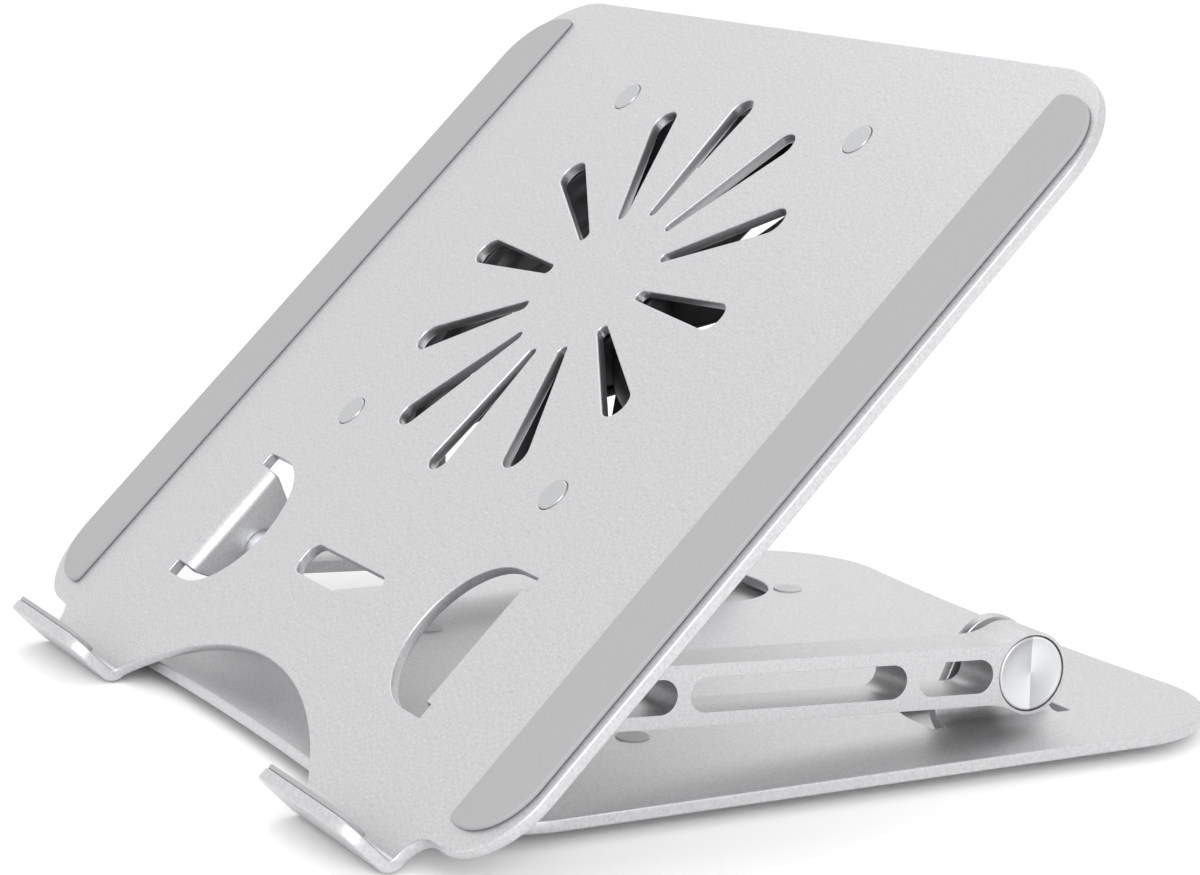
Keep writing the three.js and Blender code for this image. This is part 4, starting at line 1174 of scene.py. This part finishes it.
class STAND_OT_fan_impeller(bpy.types.Operator):
    """The hub and its pitched blades"""

    bl_idname = "stand.fan_impeller"
    bl_label = "Fan impeller"

    def execute(self, context):
        fan = context.scene.stand_fan
        layer = fan_layers(fan)
        top, bottom, hub = layer["hub_top"], layer["hub_bottom"], fan.hub
        wall, edge = HUB_WALL, HUB_ROUNDING
        bm = bmesh.new()
        turn_profile(bm, [
            (0, top), (hub - edge, top), (hub - edge * 0.3, top - edge * 0.3), (hub, top - edge),
            (hub, bottom), (hub - wall, bottom), (hub - wall, top - wall), (0, top - wall)], 96)
        for i in range(fan.blades):
            blade = self.draw_blade(fan, top, bottom)
            turn = Matrix.Rotation(fan.blade_start + i * 2 * math.pi / fan.blades, 3, "Z")
            bmesh.ops.rotate(blade, cent=(0, 0, 0), matrix=turn, verts=blade.verts)
            add_bmesh(bm, blade)
        make_piece(
            bm, "fan_rotor_blades", black_plastic(), "rotor", "black_plastic", "fan_impeller",
            space=TRAY_SPACE)
        return {"FINISHED"}

    def draw_blade(self, fan, top, bottom):
        """A grid whose X runs from hub to tip is pitched, cambered and swept, then made solid."""
        root = fan.hub - HUB_WALL / 2
        tip = fan.size / 2 - fan.wall - fan.tip_gap
        blade = bmesh.new()
        bmesh.ops.create_grid(blade, x_segments=14, y_segments=10, size=0.5)
        for vert in blade.verts:
            along, across = vert.co.x + 0.5, vert.co.y
            pitch = math.radians(BLADE_ROOT_PITCH - BLADE_PITCH_FALL * along)
            chord = (top - bottom - fan.blade) / math.sin(pitch) * BLADE_FILL
            camber = BLADE_CAMBER * chord * (1 - 4 * across ** 2) - BLADE_DROP * chord
            y = across * chord
            radius = root + along * (tip - root)
            turn = (y * math.cos(pitch) - camber * math.sin(pitch)) / radius + BLADE_SWEEP * along
            height = y * math.sin(pitch) + camber * math.cos(pitch) + (top + bottom) / 2
            vert.co = (radius * math.cos(turn), radius * math.sin(turn), height)
        bmesh.ops.recalc_face_normals(blade, faces=blade.faces)
        bmesh.ops.solidify(blade, geom=blade.faces[:], thickness=fan.blade)
        bmesh.ops.recalc_face_normals(blade, faces=blade.faces)
        round_edges(blade, BLADE_ROUNDING, segments=2)
        return blade


class STAND_OT_fan_fixings(bpy.types.Operator):
    """The four studs, whose heads lie flush in the tray, and their nuts under the fan"""

    bl_idname = "stand.fan_fixings"
    bl_label = "Fan fixings"

    def execute(self, context):
        layer = fan_layers(context.scene.stand_fan)
        half = context.scene.stand_tray.screw_square / 2
        places = ((half, half), (-half, half), (-half, -half), (half, -half))
        nut_top = layer["bottom"] - FIT_GAP
        end = nut_top - NUT_HEIGHT - STUD_BEYOND_NUT
        under_head = layer["top"] + FIT_GAP
        for i, (x, y) in enumerate(places, 1):
            space = TRAY_SPACE @ Matrix.Translation((x, y, 0))
            bm = bmesh.new()
            # From the chamfered end up the shank, out under the head and over its softened rim.
            turn_profile(bm, [
                (0, end), (STUD_SHANK - STUD_CHAMFER, end), (STUD_SHANK, end + STUD_CHAMFER),
                (STUD_SHANK, under_head), (STUD_HEAD, under_head),
                (STUD_HEAD, STUD_PROUD - 0.25 * MM),
                (STUD_HEAD - 0.08 * MM, STUD_PROUD - 0.08 * MM),
                (STUD_HEAD - 0.3 * MM, STUD_PROUD), (0, STUD_PROUD)], 64)
            make_piece(
                bm, f"flush_stud_{i}", satin_stud(), "tray", "turned_aluminium",
                f"fan_stud_{i}", space=space)
            nut = bmesh.new()
            circle(nut, (0, 0), NUT_FLATS / math.sqrt(3), 6)
            circle(nut, (0, 0), NUT_BORE, 24)
            fill(nut, nut.verts[:])
            thicken(nut, NUT_HEIGHT)
            round_edges(nut, NUT_ROUNDING)
            bmesh.ops.translate(nut, verts=nut.verts, vec=(0, 0, nut_top))
            make_piece(
                nut, f"hex_nut_{i}", zinc_steel(), "tray", "zinc_steel", f"fan_nut_{i}",
                space=space)
        return {"FINISHED"}


INLET_ASIDE = 30 * MM  # from the tray's middle line
INLET_WIDTH = 14 * MM
INLET_HEIGHT = 7 * MM
INLET_DEPTH = 9 * MM
INLET_CORNER = 1.0 * MM
INLET_ROUNDING = 0.35 * MM
MOUTH_HALF_WIDTH = 4 * MM
MOUTH_HALF_HEIGHT = 1.5 * MM
MOUTH_CORNER = 1.4 * MM
MOUTH_DEPTH = 6 * MM


class STAND_OT_power_inlet(bpy.types.Operator):
    """The fan's power inlet: a small block with a flat mouth"""

    bl_idname = "stand.power_inlet"
    bl_label = "Power inlet"

    def execute(self, context):
        fan = context.scene.stand_fan
        top = fan_layers(fan)["top"]
        x, half, middle = INLET_ASIDE, INLET_WIDTH / 2, -INLET_HEIGHT / 2
        bm = bmesh.new()
        rounded_box(bm, (x - half, -INLET_HEIGHT), (x + half, 0), INLET_CORNER)
        mouth = rounded_box(
            bm, (x - MOUTH_HALF_WIDTH, middle - MOUTH_HALF_HEIGHT),
            (x + MOUTH_HALF_WIDTH, middle + MOUTH_HALF_HEIGHT), MOUTH_CORNER)
        fill(bm, bm.verts[:])
        bmesh.ops.contextual_create(bm, geom=edges_of(mouth))
        bmesh.ops.recalc_face_normals(bm, faces=bm.faces)
        thicken(bm, INLET_DEPTH)

        def is_mouth(face):
            centre = face.calc_center_median()
            inside = abs(centre.x - x) < 1 * MM and abs(centre.y - middle) < 0.5 * MM
            return inside and near(centre.z, 0)

        sink(bm, is_mouth, MOUTH_DEPTH)
        round_edges(bm, INLET_ROUNDING, segments=2)
        back = fan.size / 2 + FIT_GAP + INLET_DEPTH
        turn = Matrix.Translation((0, back, top)) @ Matrix.Rotation(math.pi, 4, "Z") @ UPRIGHT
        flip = Matrix.Scale(-1, 4, (1, 0, 0))
        bmesh.ops.transform(bm, matrix=turn @ flip, verts=bm.verts)
        bmesh.ops.reverse_faces(bm, faces=bm.faces)
        make_piece(
            bm, "inlet_block", black_plastic(), "tray", "black_plastic", "power_inlet",
            space=TRAY_SPACE)
        return {"FINISHED"}


class STAND_OT_inner_parts(bpy.types.Operator):
    """Finishes of the fan's inner parts, whose CAD shapes stay"""

    bl_idname = "stand.inner_parts"
    bl_label = "Inner parts"

    def execute(self, context):
        # Each: the material's name, its colour, metal or not, roughness, grain and contrast.
        plain = {
            "fan_magnet_ring": ("bonded_ferrite", "#3b3a3c", 0.0, 0.75, 0.6 * MM, 0.2),
            "fan_bearing_sleeve": ("sintered_bronze", "#a97b42", 1.0, 0.42, 0.4 * MM, 0.2),
            "fan_circuit_board": ("solder_mask_green", "#1f5a38", 0.0, 0.35, 0.9 * MM, 0.1),
            "fan_stator": ("enamelled_copper", "#a8572a", 1.0, 0.4, 0.5 * MM, 0.25),
        }
        finishes = {"fan_shaft": zinc_steel()}
        for node, values in plain.items():
            finishes[node] = plain_finish(*values)
        for node, material in finishes.items():
            slots = frame["nodes"][node].data.materials
            slots.clear()
            slots.append(material)
        return {"FINISHED"}


# ---- Stage ------------------------------------------------------------------------------

FLOOR_RADIUS = 6.0  # in metres
SKY_STRENGTH = 1.12
# Each light: where it stands and its side in metres, and its power in watts.
LIGHTS = {
    "key_light": ((1.9, -0.6, 0.9), 1.0, 26),
    "fill_light": ((-0.9, 0.3, 1.3), 0.9, 2),
}
LIGHT_AIM = Vector((0, 0, 0.06))


class STAND_OT_stage(bpy.types.Operator):
    """A pale floor, soft studio light and the camera"""

    bl_idname = "stand.stage"
    bl_label = "Stage"

    def execute(self, context):
        stage = context.scene.stand_stage
        self.make_floor(stage)
        self.make_world(context, stage)
        for name, (place, size, power) in LIGHTS.items():
            self.make_light(name, place, size, power)
        self.make_camera(context, stage)
        return {"FINISHED"}

    def make_floor(self, stage):
        bm = bmesh.new()
        bmesh.ops.create_circle(bm, cap_ends=True, segments=96, radius=FLOOR_RADIUS)
        mesh = bpy.data.meshes.new("floor")
        bm.to_mesh(mesh)
        bm.free()
        floor = bpy.data.objects.new("floor", mesh)
        bpy.context.scene.collection.objects.link(floor)
        material, tree, shader, place = start_material("matt_paper", stage.floor, 0.0, 0.9)
        if tree:
            grain(tree, shader, place, stage.floor, 4 * MM, 0.01, 0.02 * MM, 0.1)
        mesh.materials.append(material)

    def make_world(self, context, stage):
        world = bpy.data.worlds.new("studio")
        context.scene.world = world
        world.use_nodes = True
        background = world.node_tree.nodes["Background"]
        background.inputs["Color"].default_value = (*stage.sky, 1.0)
        background.inputs["Strength"].default_value = SKY_STRENGTH
        context.scene.view_settings.view_transform = "Standard"

    def make_light(self, name, place, size, power):
        data = bpy.data.lights.new(name, "AREA")
        data.size = size
        data.energy = power
        light = bpy.data.objects.new(name, data)
        light.location = place
        aim = LIGHT_AIM - light.location
        light.rotation_euler = aim.to_track_quat("-Z", "Y").to_euler()
        bpy.context.scene.collection.objects.link(light)

    def make_camera(self, context, stage):
        """Stands the camera off along its azimuth and elevation, leaned by its roll."""
        a, e = stage.azimuth, stage.elevation
        back = Vector((math.sin(a) * math.cos(e), -math.cos(a) * math.cos(e), math.sin(e)))
        level = Vector((math.cos(a), math.sin(a), 0.0))
        over = back.cross(level)
        c, s = math.cos(stage.roll), math.sin(stage.roll)
        right = c * level + s * over
        up = c * over - s * level
        data = bpy.data.cameras.new("camera")
        data.lens = stage.lens
        data.sensor_width = 36.0
        data.clip_start = 0.01
        camera = bpy.data.objects.new("camera", data)
        place = back * stage.distance - right * stage.aside + up * stage.below
        turn = Matrix((right, up, back)).transposed().to_4x4()
        camera.matrix_world = Matrix.Translation(place) @ turn
        context.scene.collection.objects.link(camera)
        context.scene.camera = camera


class STAND_PT_panel(bpy.types.Panel):
    """Lists the operators that make the stand and its stage"""

    bl_idname = "STAND_PT_panel"
    bl_label = "Laptop stand"
    bl_space_type = "VIEW_3D"
    bl_region_type = "UI"
    bl_category = "Stand"

    def draw(self, context):
        for operator in OPERATORS:
            self.layout.operator(operator.bl_idname)


SETTINGS = {
    "stand_sheet": StandSheet,
    "stand_tray": StandTray,
    "stand_pads": StandPads,
    "stand_base": StandBase,
    "stand_arms": StandArms,
    "stand_fan": StandFan,
    "stand_stage": StandStage,
}

OPERATORS = (
    STAND_OT_stage,
    STAND_OT_base_plate,
    STAND_OT_tray_plate,
    STAND_OT_side_pads,
    STAND_OT_hook_pads,
    STAND_OT_feet,
    STAND_OT_arms,
    STAND_OT_hinges,
    STAND_OT_fan_frame,
    STAND_OT_fan_impeller,
    STAND_OT_fan_fixings,
    STAND_OT_power_inlet,
    STAND_OT_inner_parts,
)


def register():
    """Registers the settings, the operators and the panel."""
    for name, settings in SETTINGS.items():
        bpy.utils.register_class(settings)
        setattr(bpy.types.Scene, name, PointerProperty(type=settings))
    for operator in OPERATORS:
        bpy.utils.register_class(operator)
    bpy.utils.register_class(STAND_PT_panel)


def unregister():
    """Takes them away again."""
    bpy.utils.unregister_class(STAND_PT_panel)
    for operator in reversed(OPERATORS):
        bpy.utils.unregister_class(operator)
    for name, settings in SETTINGS.items():
        delattr(bpy.types.Scene, name)
        bpy.utils.unregister_class(settings)


def main():
    """Makes the stand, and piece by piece."""
    register()
    for operator in OPERATORS:
        group, name = operator.bl_idname.split(".")
        getattr(getattr(bpy.ops, group), name)()


if __name__ == "__main__":
    main()
